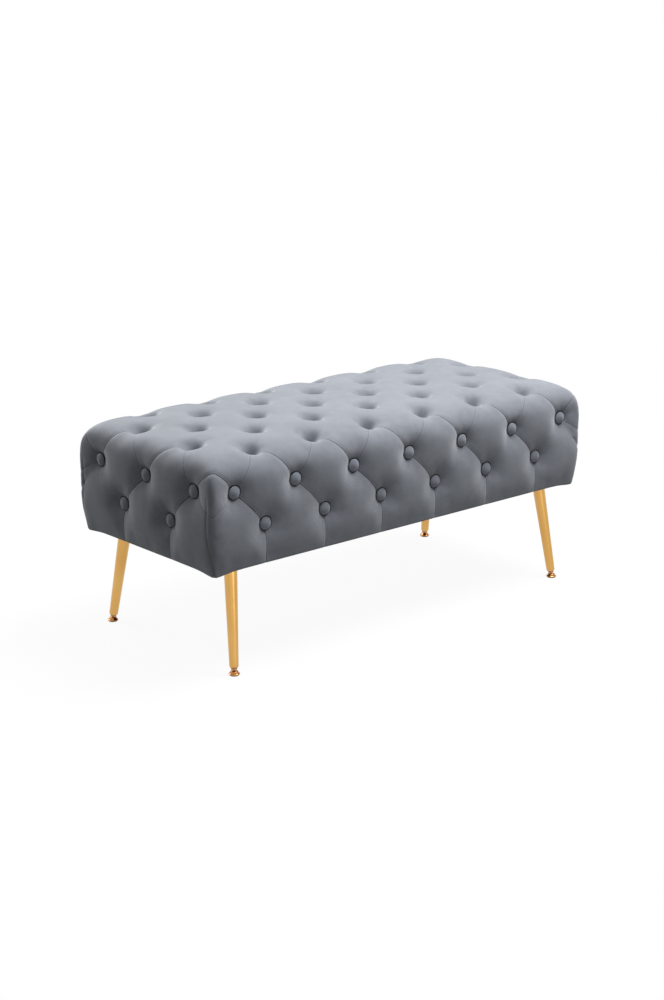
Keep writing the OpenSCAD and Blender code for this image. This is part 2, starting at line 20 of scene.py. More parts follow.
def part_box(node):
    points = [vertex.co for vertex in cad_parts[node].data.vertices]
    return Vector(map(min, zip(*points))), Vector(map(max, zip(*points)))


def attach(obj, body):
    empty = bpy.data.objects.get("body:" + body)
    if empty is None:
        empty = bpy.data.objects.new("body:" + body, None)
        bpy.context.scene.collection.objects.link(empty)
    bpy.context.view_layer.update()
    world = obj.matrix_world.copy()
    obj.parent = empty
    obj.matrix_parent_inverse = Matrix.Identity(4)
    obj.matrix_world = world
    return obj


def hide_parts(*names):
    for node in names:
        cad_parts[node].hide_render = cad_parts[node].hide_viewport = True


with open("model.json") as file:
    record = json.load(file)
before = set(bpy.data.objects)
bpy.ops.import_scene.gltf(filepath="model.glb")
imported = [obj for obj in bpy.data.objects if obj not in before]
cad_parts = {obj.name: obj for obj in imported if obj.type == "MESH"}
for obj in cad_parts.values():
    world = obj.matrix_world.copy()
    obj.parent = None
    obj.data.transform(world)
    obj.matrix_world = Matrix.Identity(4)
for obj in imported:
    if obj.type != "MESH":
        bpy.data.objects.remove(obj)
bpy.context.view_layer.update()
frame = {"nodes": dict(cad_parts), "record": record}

LOG = logging.getLogger("pouf")
MM = 0.001
FAR = 1.0  # metres, for a distance that is too great to matter
WHITE = (1, 1, 1, 1)
BENCH = "bench"
NODES = frame["nodes"]
BELOW_ROW = 2.1  # steps down a wall, just past the lower row of buttons
ABOVE_HEM = 4.9  # steps down a wall, just short of the hem
HEM_END = 6
CORNER_END = 1.3  # steps down a wall, where the creases round a corner end
Array = np.ndarray
Material = bpy.types.Material
Mesh = bpy.types.Mesh
Piece = bpy.types.Object
Socket = bpy.types.NodeSocket


class Corner(Enum):
    """The corners that have a leg, with the signs of their x and y."""

    FRONT_LEFT = (-1, -1)
    FRONT_RIGHT = (1, -1)
    BACK_LEFT = (-1, 1)
    BACK_RIGHT = (1, 1)


def ramp(value: Array, at_zero: float, at_one: float) -> Array:
    """How far a value has come from where the ramp is 0 to where it is 1, kept between them."""
    return np.clip((value - at_zero) / (at_one - at_zero), 0, 1)


def bell(value: Array, width: float, power: float = 2) -> Array:
    """One at zero, falling away over a width."""
    return np.exp(-((value / width) ** power))


def eased(share: Array) -> Array:
    """A share from 0 to 1 that starts and ends slowly."""
    return share * share * (3 - 2 * share)


def read(items: Any, name: str) -> Array:
    """Reads a vector of each item.

    Args:
        items: A mesh's vertices, or the data of an attribute.
        name: The property that holds the vector.

    Returns:
        One row for each item.
    """
    flat = np.empty(len(items) * 3, np.float32)
    items.foreach_get(name, flat)
    return flat.reshape(-1, 3).astype(float)


def write(mesh: Mesh, name: str, domain: str, values: Array) -> None:
    """Adds an attribute of numbers, or of rows of three, to a mesh's points or corners."""
    kind, key = ("FLOAT", "value") if values.ndim == 1 else ("FLOAT_VECTOR", "vector")
    mesh.attributes.new(name, kind, domain).data.foreach_set(key, values.astype(np.float32).ravel())


def put(mesh: Mesh, points: Array) -> None:
    """Puts a mesh's vertices in their places."""
    mesh.vertices.foreach_set("co", points.astype(np.float32).ravel())
    mesh.update()


def linear(code: str) -> tuple[float, float, float, float]:
    """Turns an sRGB hex colour into the linear values that a shader takes.

    Args:
        code: A colour such as "#6b7078".

    Returns:
        Red, green, blue and an alpha of 1.
    """
    parts = [int(code[k : k + 2], 16) / 255 for k in (1, 3, 5)]
    lin = [c / 12.92 if c <= 0.04045 else ((c + 0.055) / 1.055) ** 2.4 for c in parts]
    return (lin[0], lin[1], lin[2], 1.0)


@dataclass
class Nodes:
    """A node tree in the making, with a short way to add what the finishes share."""

    tree: bpy.types.NodeTree

    @classmethod
    def of(cls, owner: Any) -> "Nodes":
        """Takes the node tree of a material or a world, emptied.

        Args:
            owner: The material or world.

        Returns:
            Its tree, ready for nodes.
        """
        owner.use_nodes = True
        owner.node_tree.nodes.clear()
        return cls(owner.node_tree)

    def add(self, kind: str, inputs: dict[Any, Any] | None = None, **settings: Any) -> Any:
        """Adds a node with its settings and links.

        Args:
            kind: The node's type, without "ShaderNode" before it.
            inputs: Socket name or number to a value, or to the socket that feeds it.
            settings: Properties of the node itself.

        Returns:
            The new node.
        """
        made = self.tree.nodes.new("ShaderNode" + kind)
        for name, value in settings.items():
            setattr(made, name, value)
        for key, value in (inputs or {}).items():
            if isinstance(value, Socket):
                self.tree.links.new(value, made.inputs[key])
            else:
                made.inputs[key].default_value = value
        return made

    def math(self, operation: str, *values: Any) -> Socket:
        """Does a sum with one or two values."""
        return self.add("Math", dict(enumerate(values)), operation=operation).outputs[0]

    def most(self, values: list[Socket]) -> Socket:
        """Takes the greatest of some values."""
        return reduce(lambda one, other: self.math("MAXIMUM", one, other), values)

    def span(
        self, value: Any, low: float, high: float, start: float = 0.0, end: float = 1.0, kind: str = "LINEAR"
    ) -> Socket:
        """Maps the span of a value from low to high onto one from start to end, and keeps to it."""
        inputs = dict(enumerate((value, low, high, start, end)))
        return self.add("MapRange", inputs, interpolation_type=kind).outputs[0]

    def mix(self, share: Any, one: Any, other: Any) -> Socket:
        """Blends from one colour to another by a share."""
        return self.add("Mix", {0: share, 6: one, 7: other}, data_type="RGBA").outputs[2]

    def noise(self, place: Any, scale: float, detail: float, **more: float) -> Socket:
        """Adds cloudy noise, with its scale per metre."""
        inputs = {"Vector": place, "Scale": scale, "Detail": detail, **more}
        return self.add("TexNoise", inputs).outputs["Fac"]

    def bump(self, height: Any, strength: float, depth_mm: float, **more: Any) -> Socket:
        """Turns a height into a bent normal."""
        inputs = {"Height": height, "Strength": strength, "Distance": depth_mm * MM, **more}
        return self.add("Bump", inputs).outputs["Normal"]

    def attribute(self, name: str, output: str = "Fac") -> Any:
        """Reads an attribute of the mesh."""
        return self.add("Attribute", attribute_name=name).outputs[output]

    def split(self, vector: Any) -> Any:
        """Takes a vector apart into its three numbers."""
        return self.add("SeparateXYZ", {0: vector}).outputs

    def place(self) -> Socket:
        """Reads the place on the object, in metres."""
        return self.add("TexCoord").outputs["Object"]

    def stretch(self, place: Any, scale: tuple[float, float, float]) -> Socket:
        """Scales a place, so that a pattern gets long where the scale is small."""
        return self.add("Mapping", {"Vector": place, "Scale": scale}).outputs[0]


@dataclass(frozen=True)
class Finish:
    """A finish that one principled shader shows."""

    name: str

    def inputs(self, nodes: Nodes) -> dict[str, Any]:
        """Builds what feeds the shader, which each kind of finish does in its own way."""
        raise NotImplementedError

    def material(self) -> Material:
        """Builds the finish.

        Returns:
            The material.
        """
        made = bpy.data.materials.new(self.name)
        nodes = Nodes.of(made)
        shader = nodes.add("BsdfPrincipled", self.inputs(nodes))
        nodes.add("OutputMaterial", {"Surface": shader.outputs["BSDF"]})
        return made


@dataclass(frozen=True)
class Velvet(Finish):
    """Short-pile polyester velvet: dark face on, with a pale bloom where it turns away from the eye."""

    ground: str = "#7b7f87"
    shade: str = "#6f737a"
    bloom: str = "#e8ebf0"
    # painted shade: the dark colour laid into the folds, pleats, corner seams and rings round the wall
    # buttons
    fold: str = "#0e0f12"
    # painted highlight: the pale colour laid beside each fold and pleat, where its lip would catch the light
    lip_highlight: str = "#9ca0a8"
    sheen: float = 0.8
    sheen_roughness: float = 0.5
    clouds_per_m: float = 14.0
    streaks_per_m: float = 55.0
    pile_mm: float = 0.7  # coarser than the 0.2 mm of the real pile, so that it shows
    fold_mm: float = 1.5
    beside_mm: float = 2.2
    crease_mm: float = 55.0
    pleat_mm: float = 79.0
    seam_mm: float = 1.7
    # painted shade ring round each wall button: dark out to the first distance in mm, faded out by the second
    shade_ring_mm: tuple[float, float] = (15.6, 17.6)
    # whether the painted shade and highlight lines are drawn
    creased: bool = False

    def crease(self, nodes: Nodes, across: Socket, weight: Socket, offset_mm: float) -> Socket:
        """Draws a thin line where a signed distance across a fold is near an offset."""
        away = nodes.math("ABSOLUTE", nodes.math("SUBTRACT", across, offset_mm))
        return nodes.math("MULTIPLY", nodes.span(away, 0.0, self.fold_mm, 1.0, 0.0, "SMOOTHSTEP"), weight)

    def folds(self, nodes: Nodes) -> tuple[Socket, Socket]:
        """Paints shade along the folds between buttons, the pleats and the corner seams and in rings round
        the wall buttons, and a painted highlight beside each fold and pleat.

        Args:
            nodes: The material's nodes.

        Returns:
            The strength of the painted shade lines and of the painted highlight lines beside them.
        """
        spots = nodes.split(nodes.attribute("lattice", "Vector"))
        weights = nodes.split(nodes.attribute("held_lines", "Vector"))
        dark, pale = [], []
        for axis, apart_mm in enumerate((self.crease_mm, self.crease_mm, self.pleat_mm)):
            turn = nodes.math("FLOORED_MODULO", spots[axis], 2.0)
            across = nodes.math("MULTIPLY", nodes.math("SUBTRACT", turn, 1.0), apart_mm)
            dark.append(self.crease(nodes, across, weights[axis], 0.0))
            pale.append(self.crease(nodes, across, weights[axis], self.beside_mm))
        # painted shade along the corner seams and round the wall buttons
        aside = nodes.math("ABSOLUTE", nodes.attribute("corner_seam"))
        dark.append(nodes.span(aside, 0.0, self.seam_mm, 0.75, 0.0, "SMOOTHSTEP"))
        dark.append(nodes.span(nodes.attribute("tie_reach"), *self.shade_ring_mm, 1.0, 0.0, "SMOOTHSTEP"))
        return nodes.most(dark), nodes.most(pale)

    def inputs(self, nodes: Nodes) -> dict[str, Any]:
        """Builds the velvet, with painted shade along its creases and seams and round its wall buttons, and a
        painted highlight beside the creases, where the piece carries them.

        Args:
            nodes: The material's nodes.

        Returns:
            What feeds the shader.
        """
        place = nodes.place()
        cloud = nodes.noise(place, self.clouds_per_m, 3.0, Roughness=0.5)
        streak = nodes.noise(place, self.streaks_per_m, 3.0, Roughness=0.7)
        share = nodes.span(nodes.math("ADD", cloud, streak), 0.7, 1.3)
        tone = nodes.mix(share, linear(self.shade), linear(self.ground))
        normal = nodes.bump(nodes.noise(place, 1 / (self.pile_mm * MM), 2.0), 0.25, 0.4)
        if self.creased:
            dark, pale = self.folds(nodes)
            # painted highlight beside the folds and pleats
            tone = nodes.mix(nodes.math("MULTIPLY", pale, 0.3), tone, linear(self.lip_highlight))
            # painted shade in the folds, pleats, corner seams and button rings
            tone = nodes.mix(nodes.math("MULTIPLY", dark, 0.9), tone, linear(self.fold))
            sunk = {"Height": dark, "Strength": 0.7, "Distance": 1.2 * MM, "Normal": normal}
            normal = nodes.add("Bump", sunk, invert=True).outputs["Normal"]
        return {
            "Base Color": tone,
            "Normal": normal,
            "Roughness": 0.85,
            "Specular IOR Level": 0.15,
            "Sheen Weight": self.sheen,
            "Sheen Roughness": self.sheen_roughness,
            "Sheen Tint": linear(self.bloom),
        }


@dataclass(frozen=True)
class PlatedMetal(Finish):
    """Gold-coloured plating on drawn steel: fine lengthwise brushing under a satin lacquer."""

    light: str
    deep: str
    roughness: float
    brushing_mm: float = 0.35
    wear_per_m: float = 9.0
    coat: float = 0.6
    coat_roughness: float = 0.22

    def inputs(self, nodes: Nodes) -> dict[str, Any]:
        """Builds the plated metal.

        Args:
            nodes: The material's nodes.

        Returns:
            What feeds the shader.
        """
        place = nodes.place()
        grain = nodes.noise(nodes.stretch(place, (1.0, 1.0, 0.04)), 1 / (self.brushing_mm * MM), 3.0)
        wear = nodes.span(nodes.noise(place, self.wear_per_m, 2.0), 0.3, 0.7)
        return {
            "Base Color": nodes.mix(wear, linear(self.deep), linear(self.light)),
            "Roughness": nodes.span(grain, 0.3, 0.7, self.roughness - 0.02, self.roughness + 0.03),
            "Normal": nodes.bump(grain, 0.02, 0.1),
            "Metallic": 1.0,
            "Coat Weight": self.coat,
            "Coat Roughness": self.coat_roughness,
        }


@dataclass(frozen=True)
class Mottled(Finish):
    """A finish of two close tones in a fine pattern: rubber, dust cloth, foam, twine or zinc."""

    light: str
    dark: str
    grain_mm: float
    roughness: float
    metallic: float = 0.0
    bump_mm: float = 0.1
    bump_strength: float = 0.5
    detail: float = 4.0
    distortion: float = 0.0
    contrast: tuple[float, float] = (0.35, 0.65)
    stretch: tuple[float, float, float] = (1.0, 1.0, 1.0)

    def inputs(self, nodes: Nodes) -> dict[str, Any]:
        """Builds the pattern, which is long where its stretch is small.

        Args:
            nodes: The material's nodes.

        Returns:
            What feeds the shader.
        """
        place = nodes.stretch(nodes.place(), self.stretch)
        grain = nodes.noise(place, 1 / (self.grain_mm * MM), self.detail, Distortion=self.distortion)
        share = nodes.span(grain, *self.contrast)
        return {
            "Base Color": nodes.mix(share, linear(self.dark), linear(self.light)),
            "Normal": nodes.bump(grain, self.bump_strength, self.bump_mm),
            "Roughness": self.roughness,
            "Metallic": self.metallic,
        }


@dataclass(frozen=True)
class SawnWood(Mottled):
    """Sawn and sanded wood: long grain along one axis, with darker growth bands."""

    grain_mm: float = 9.0
    roughness: float = 0.65
    bump_mm: float = 0.3
    bump_strength: float = 0.3
    detail: float = 6.0
    distortion: float = 0.6
    contrast: tuple[float, float] = (0.3, 0.7)
    stretch: tuple[float, float, float] = (0.06, 1.0, 1.0)


def finish_piece(piece: Piece, body: str, material: Material, node: str = "") -> Piece:
    """Gives a piece its material, body and slot, puts it over its node and reports it.

    Args:
        piece: The finished piece.
        body: The body that it rides on.
        material: Its finish.
        node: The node that it replaces, or nothing where it is added to one.

    Returns:
        The same piece.
    """
    piece.data.materials.clear()
    piece.data.materials.append(material)
    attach(piece, body)
    if node:
        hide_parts(node)
    LOG.info("%s: %d faces on %s", piece.name, len(piece.data.polygons), body)
    return piece


def add_object(name: str, data: Any) -> Piece:
    """Adds an object to the scene, at the origin.

    Args:
        name: The object's name.
        data: Its mesh, lamp or camera.

    Returns:
        The new object.
    """
    made = bpy.data.objects.new(name, data)
    bpy.context.scene.collection.objects.link(made)
    return made


def to_object(bm: bmesh.types.BMesh, name: str, smooth: bool = True) -> Piece:
    """Turns a bmesh into an object of the scene.

    Args:
        bm: The bmesh, which is freed.
        name: The object's name.
        smooth: Whether its faces are shaded smooth.

    Returns:
        The new object, at the origin.
    """
    mesh = bpy.data.meshes.new(name)
    bm.to_mesh(mesh)
    bm.free()
    for polygon in mesh.polygons:
        polygon.use_smooth = smooth
    return add_object(name, mesh)


def everything(bm: bmesh.types.BMesh) -> list[Any]:
    """Lists all of a bmesh, as the operators that cut it take it."""
    return list(bm.verts) + list(bm.edges) + list(bm.faces)


def turn_profile(
    bm: bmesh.types.BMesh, profile: Iterable[tuple[float, float]], steps: int, place: Matrix,
    turns: int = 1, rise: float = 0.0,
) -> None:
    """Spins a profile of radius and height round the Z axis and puts it in place.

    Args:
        bm: The bmesh that gets the turned shape.
        profile: Points of radius and height, from one end to the other.
        steps: How many steps make a full turn.
        place: Where the shape goes.
        turns: How many turns it makes.
        rise: How far it climbs in a turn, which is more than zero for a thread.
    """
    before = set(bm.verts)
    chain = [bm.verts.new((r, 0, z)) for r, z in profile]
    edges = [bm.edges.new(pair) for pair in zip(chain, chain[1:])]
    bmesh.ops.spin(
        bm, geom=chain + edges, cent=(0, 0, 0), axis=(0, 0, 1), angle=math.tau * turns, steps=steps * turns,
        dvec=(0, 0, rise / steps), use_merge=not rise,
    )
    made = [v for v in bm.verts if v not in before]
    bmesh.ops.remove_doubles(bm, verts=made, dist=1e-6)
    made = [v for v in bm.verts if v not in before]
    faces = list({f for v in made for f in v.link_faces})
    bmesh.ops.recalc_face_normals(bm, faces=faces)
    bmesh.ops.transform(bm, matrix=place, verts=made)


@dataclass(frozen=True)
class Pit:
    """How a button draws the velvet in: a steep hole in a wide dish, with a ruffle round it."""

    hole: float
    hole_r: float
    hole_power: float
    dish: float
    dish_r: float
    ruffle: float
    lift: float  # of the button's back over the bottom
    dish_power: float = 1.6
    ruffle_r: float = 22 * MM
    ruffle_w: float = 9 * MM

    def drawn(self, reach: Array, turn: Array, number: int) -> Array:
        """How far the velvet is drawn in.

        Args:
            reach: Distances from the button.
            turn: Angles round the button.
            number: The button's number, which sets how many ruffles it has and where they start.

        Returns:
            The depths in metres.
        """
        hole = self.hole * bell(reach, self.hole_r, self.hole_power)
        dish = self.dish * bell(reach, self.dish_r, self.dish_power)
        ruffle = self.ruffle * bell(reach - self.ruffle_r, self.ruffle_w)
        return hole + dish + ruffle * np.cos((7 + number % 3) * turn + 1.7 * number)


SEAT_PIT = Pit(34 * MM, 15 * MM, 2.2, 8 * MM, 22 * MM, 0.9 * MM, 11.9 * MM)
WALL_PIT = Pit(7 * MM, 15.5 * MM, 3.0, 12 * MM, 30 * MM, 0.5 * MM, 7.3 * MM)


class Face(Enum):
    """The faces of the body that have buttons, with the direction out of each one."""

    TOP = (0, 0, 1)
    FRONT = (0, -1, 0)
    BACK = (0, 1, 0)
    LEFT = (-1, 0, 0)
    RIGHT = (1, 0, 0)

    @property
    def pit(self) -> Pit:
        """How this face's buttons draw the velvet in."""
        return SEAT_PIT if self is Face.TOP else WALL_PIT


class Steps(NamedTuple):
    """Places on the lattice of quarter pitches: along the length, across the width and down a wall.

    Down a wall 0 is the upper row of buttons, 2 the lower row, 4 the lower edge, 5 the start of
    the hem under the box and 6 its end.
    """

    a: Array
    b: Array
    m: Array


@dataclass
class Facts:
    """What the form says of points of the velvet, with distances in metres."""

    depth: Array  # how far it is drawn in
    button: Array  # to the nearest button
    beside: Array  # to the nearest wall button, along the wall
    first: Array  # to the creases that fall to one side
    second: Array  # to the creases that fall to the other side
    pleat: Array  # to the nearest pleat
    hanging: Array  # the pleat's strength
    outward: Array  # to the crease from the last upper button down to the corner
    seam: Array  # past the corner's seam
    level: Array  # the share that is wall


@dataclass
class TuftedForm:
    """The padding's smooth form and the lattice of buttons that draws it in, in metres."""

    half_l: float
    half_w: float
    seat_h: float
    under_z: float
    long_step: float = 157 * MM / 4
    seat_step: float = 88 * MM / 2
    short_step: float = 160 * MM / 4
    upper_drop: float = 66 * MM
    lower_drop: float = 78 * MM
    seat_valley: float = 0.5 * MM
    wall_valley: float = 2.5 * MM
    crease_power: float = 2.2
    faint_share: float = 0.35
    facing_power: float = 0.6
    ring_reach: float = 40 * MM
    pleat_depth: float = 1.6 * MM
    pleat_w: float = 18 * MM
    crown: float = 14 * MM
    front_reach: float = 196 * MM
    droop: float = 6 * MM
    corner_droop: float = 5 * MM
    corner_reach: float = 45 * MM
    corner_calm: float = 42 * MM
    corner_long: float = 59 * MM
    corner_short: float = 70 * MM
    corner_r: float = 11 * MM
    soft_corner: float = 14 * MM
    seam_shift: float = 15 * MM
    seam_least: float = 1.5 * MM
    edge_share: float = 0.68
    draw_in: float = 1.5 * MM
    tuck: float = 7 * MM
    lower_r: float = 6 * MM
    lap: float = 26 * MM
    hem_rise: float = 0.3 * MM
    seat_a: int = 12
    seat_b: int = 4

    @property
    def wall_a(self) -> int:
        """The step along the length at which the short walls stand."""
        return self.seat_a + 2

    @property
    def wall_b(self) -> int:
        """The step across the width at which the long walls stand."""
        return self.seat_b + 2

    @cached_property
    def edge_table(self) -> tuple[Array, Array, Array]:
        """Even steps round the seat's edge, with how far out and down each one lies, as shares."""
        angle = np.linspace(0, math.pi / 2, 600)
        out = np.sin(angle) ** self.edge_share
        down = 1 - np.cos(angle) ** self.edge_share
        reach = self.half_w - self.seat_b * self.seat_step
        length = np.hypot(np.diff(out * reach), np.diff(down * self.upper_drop))
        run = np.concatenate([[0], np.cumsum(length)])
        return run / run[-1], out, down

    def turned(self, at: Steps) -> tuple[Array, Array]:
        """How far past the seat's last column and row each point lies, from 0 to 1."""
        return ramp(np.abs(at.a), self.seat_a, self.wall_a), ramp(np.abs(at.b), self.seat_b, self.wall_b)

    def on_long(self, at: Steps) -> Array:
        """Which points stand at a long wall."""
        return np.abs(at.b) >= self.wall_b - 1e-6

    def down_wall(self, m: Array) -> tuple[Array, Array]:
        """Height and inward place of the steps down a wall.

        Args:
            m: The steps.

        Returns:
            The heights, and how far in from the crest line.
        """
        upper = self.seat_h - self.upper_drop
        heights = [upper, upper - self.lower_drop, self.under_z + self.lower_r]
        turn = ramp(m, 4, 5) * math.pi / 2
        rounded = self.under_z + self.lower_r * (1 - np.sin(turn))
        height = np.where(m > 4, rounded, np.interp(m, [0, 2, 4], heights))
        height = height - self.droop * (ramp(m, 3, 4.5) - ramp(m, 5, 5.25)) + self.hem_rise * ramp(m, 5, 6)
        inward = self.draw_in * ramp(m, 0, 4) + self.lower_r * (1 - np.cos(turn))
        return height, inward + self.tuck * ramp(m, 1.9, 4) ** 2 + self.lap * ramp(m, 5, 6)

    def round_corner(self, start: Array, reach: Array, share: Array, radius: Array) -> tuple[Array, Array]:
        """Runs along a wall and half round its corner.

        Args:
            start: Where the run starts.
            reach: How far out the other wall stands.
            share: How much of the way each point has come.
            radius: The corner's radius.

        Returns:
            The places along the wall, and how far the corner takes them in.
        """
        straight = reach - start - radius
        run = share * (straight + radius * math.pi / 4)
        bend = np.clip((run - straight) / radius, 0, math.pi / 4)
        along = np.where(run <= straight, start + run, reach - radius + radius * np.sin(bend))
        return along, radius * (1 - np.cos(bend))

    def place(self, at: Steps) -> Array:
        """Places of lattice points on the smooth form.

        Args:
            at: The lattice points.

        Returns:
            One row of x, y and z for each point.
        """
        a, b, m = at
        ta, tb = self.turned(at)
        level = np.maximum(ta, tb)
        run, outs, downs = self.edge_table
        out = np.interp(level, run, outs)
        wall_z, inward = self.down_wall(m)
        inner_l = self.seat_a * self.long_step
        inner_w = self.seat_b * self.seat_step
        widest = out * (self.half_w - inner_w)
        reach_l = inner_l + out * (self.half_l - inner_l) - inward
        reach_w = inner_w + widest - inward
        radius = np.minimum(self.corner_r + self.soft_corner * (1 - level), 0.95 * widest) - 0.5 * inward
        radius = np.maximum(radius, 0.1 * MM)
        row = self.seat_step + (self.short_step - self.seat_step) * ta
        safe = np.maximum(level, 1e-9)
        x_long, in_long = self.round_corner(np.full_like(out, inner_l), reach_l, ta / safe, radius)
        y_short, in_short = self.round_corner(self.seat_b * row, reach_w, tb / safe, radius)
        on_long = tb >= ta
        x = np.where(on_long, np.where(ta > 0, x_long, np.abs(a) * self.long_step), reach_l - in_short)
        y = np.where(on_long, reach_w - in_long, np.where(tb > 0, y_short, np.abs(b) * row))
        flat = level <= 0
        x = np.where(flat, np.abs(a) * self.long_step, x)
        y = np.where(flat, np.abs(b) * self.seat_step, y)
        reach = np.where(b < 0, self.front_reach, self.half_w)
        z = self.seat_h - self.upper_drop * np.interp(level, run, downs)
        z = z + self.crown * (1 - (x / self.half_l) ** 6) * (1 - np.clip(y / reach, 0, 1) ** 5)
        hang = bell(self.to_corner(at), self.corner_reach) * ramp(m, 2.5, 4.5) * ramp(m, 5.3, 5.3 - 1 / 3)
        z = np.where(m > 0, wall_z - self.corner_droop * hang, z)
        return np.stack([np.sign(a) * x, np.sign(b) * y, z], axis=1)

    def to_corner(self, at: Steps) -> Array:
        """How far each point of a wall lies from its nearest corner.

        Args:
            at: The lattice points.

        Returns:
            The distances.
        """
        along_long = (self.half_l - self.seat_a * self.long_step) / 2
        along_short = (self.half_w - self.seat_b * self.short_step) / 2
        from_a, from_b = self.wall_a - np.abs(at.a), self.wall_b - np.abs(at.b)
        return np.where(self.on_long(at), from_a * along_long, from_b * along_short)

    def to_seam(self, on_long: Array, to_corner: Array, m: Array) -> Array:
        """How far past the corner's seam, which runs a little onto the short wall, each point lies."""
        shift = self.seam_least + self.seam_shift * eased(ramp(m, 4.2, 1.8))
        return np.where(on_long, -to_corner, to_corner) - shift

    @cached_property
    def ties(self) -> list[tuple[Face, Vector]]:
        """The buttons, which stand where the steps add up to an odd number of pitches.

        Returns:
            The face of each one and its place on the smooth form.
        """
        columns = range(-self.seat_a, self.seat_a + 1, 2)
        rows = range(-self.seat_b, self.seat_b + 1, 2)
        out_a, out_b = self.wall_a, self.wall_b
        found = [(Face.TOP, (a, b, 0)) for a in columns for b in rows if (a + b) // 2 % 2]
        for m in (0, 2):
            for sign, on_long, on_short in ((-1, Face.FRONT, Face.LEFT), (1, Face.BACK, Face.RIGHT)):
                found += [(on_long, (a, sign * out_b, m)) for a in columns if (abs(a) + out_b + m) // 2 % 2]
                found += [(on_short, (sign * out_a, b, m)) for b in rows if (abs(b) + out_a + m) // 2 % 2]
        table = np.array([spot for _, spot in found], float)
        places = self.place(Steps(table[:, 0], table[:, 1], table[:, 2]))
        return [(face, Vector(place)) for (face, _), place in zip(found, places)]

    def pits(self, points: Array, normals: Array) -> tuple[Array, Array, Array]:
        """How the buttons draw the velvet in.

        Args:
            points: Places on the smooth form.
            normals: Directions out of the smooth form.

        Returns:
            The depths, the distances to the nearest button, and those to the nearest wall
            button along its wall.
        """
        drawn = np.zeros(len(points))
        nearest = np.full(len(points), FAR)
        beside = np.full(len(points), FAR)
        for number, (face, place) in enumerate(self.ties):
            out, side = np.array(face.value), np.array(Vector(face.value).orthogonal())
            apart = points - np.array(place)
            reach = np.linalg.norm(apart, axis=1)
            turn = np.arctan2(apart @ np.cross(out, side), apart @ side)
            facing = np.clip(normals @ out, 0, 1) ** self.facing_power
            drawn = drawn + face.pit.drawn(reach, turn, number) * facing
            nearest = np.minimum(nearest, np.where(facing > 0.2, reach, FAR))
            if face is not Face.TOP:
                flat = np.sqrt(np.maximum(reach**2 - (apart @ out) ** 2, 0))
                beside = np.minimum(beside, np.where(reach < self.ring_reach, flat, FAR))
        return drawn, nearest, beside

    def valleys(self, first: Array, second: Array, level: Array) -> Array:
        """How deep the velvet lies between its buttons.

        Args:
            first: The share of the way from the creases of one side to the middle of a puff.
            second: The same for the creases of the other side.
            level: The share that is wall.

        Returns:
            The depths.
        """
        mild, soft = (1 - first**2) ** 2, (1 - second**2) ** 2
        on_seat = 1 - (1 - mild) * (1 - soft)
        on_wall = np.maximum((1 - first) ** self.crease_power, self.faint_share * soft)
        deepest = self.seat_valley + (self.wall_valley - self.seat_valley) * level
        return deepest * (on_seat + (on_wall - on_seat) * level)

    def facts(self, at: Steps, points: Array, normals: Array) -> Facts:
        """How deep the velvet is drawn in, and where it is held.

        Args:
            at: The lattice points.
            points: Their places on the smooth form.
            normals: Directions out of the smooth form.

        Returns:
            What the form says of each point.
        """
        a, b, m = at
        level = np.maximum(*self.turned(at))
        on_long = self.on_long(at)
        to_corner = self.to_corner(at)
        i = np.where(on_long, a, np.sign(a) * (np.abs(a) + m)) / 2
        j = np.where(on_long, np.sign(b) * (np.abs(b) + m), b) / 2
        first, second = np.abs(np.mod(i + j, 2) - 1), np.abs(np.mod(i - j, 2) - 1)
        free = np.where(m > 0, eased(ramp(to_corner, 0, self.corner_calm)), 1)
        drawn, button, beside = self.pits(points, normals)
        drawn = drawn + self.valleys(first, second, level) * free * ramp(m, 2.8, 1.6)
        column = np.where(on_long, i, j)
        last = np.where(on_long, self.seat_a, self.seat_b) / 2
        hanging = ramp(m, BELOW_ROW, 2.5) * np.maximum(ramp(m, ABOVE_HEM, 3.3), 0.3) * (m < 5)
        hanging = np.where(np.abs(column) <= last, hanging, 0)
        aside = np.abs(np.mod(column, 2) - 1) * np.where(on_long, self.long_step, self.short_step) * 2
        drawn = drawn + hanging * self.pleat_depth * bell(aside, self.pleat_w)
        past = np.where(on_long, np.abs(a) - self.seat_a, np.abs(b) - self.seat_b) / 2
        wide = np.where(on_long, self.corner_long, self.corner_short)
        tall = self.lower_drop / 2
        outward = wide * tall * np.abs(m - past) / np.hypot(wide, tall)
        pitch = 2 * self.long_step
        across = pitch * self.lower_drop / math.hypot(pitch, self.lower_drop)
        return Facts(
            depth=drawn * ramp(m, ABOVE_HEM, 4.4),
            button=button,
            beside=beside,
            first=first * across,
            second=second * across,
            pleat=np.where(hanging > 0, aside, FAR),
            hanging=hanging,
            outward=np.where((past > 0) & (m > 0) & (m < CORNER_END), outward, FAR),
            seam=self.to_seam(on_long, to_corner, m),
            level=level,
        )


@dataclass(frozen=True)
class Puffing:
    """How the velvet is blown out between its ties by the cloth simulation."""

    frames: int = 16
    quality: int = 5
    pressure: float = 4.0
    slack: float = -0.02
    cap: float = 4 * MM
    mass: float = 0.3
    stiffness: float = 12.0
    bending: float = 0.8
    smoothing: int = 6


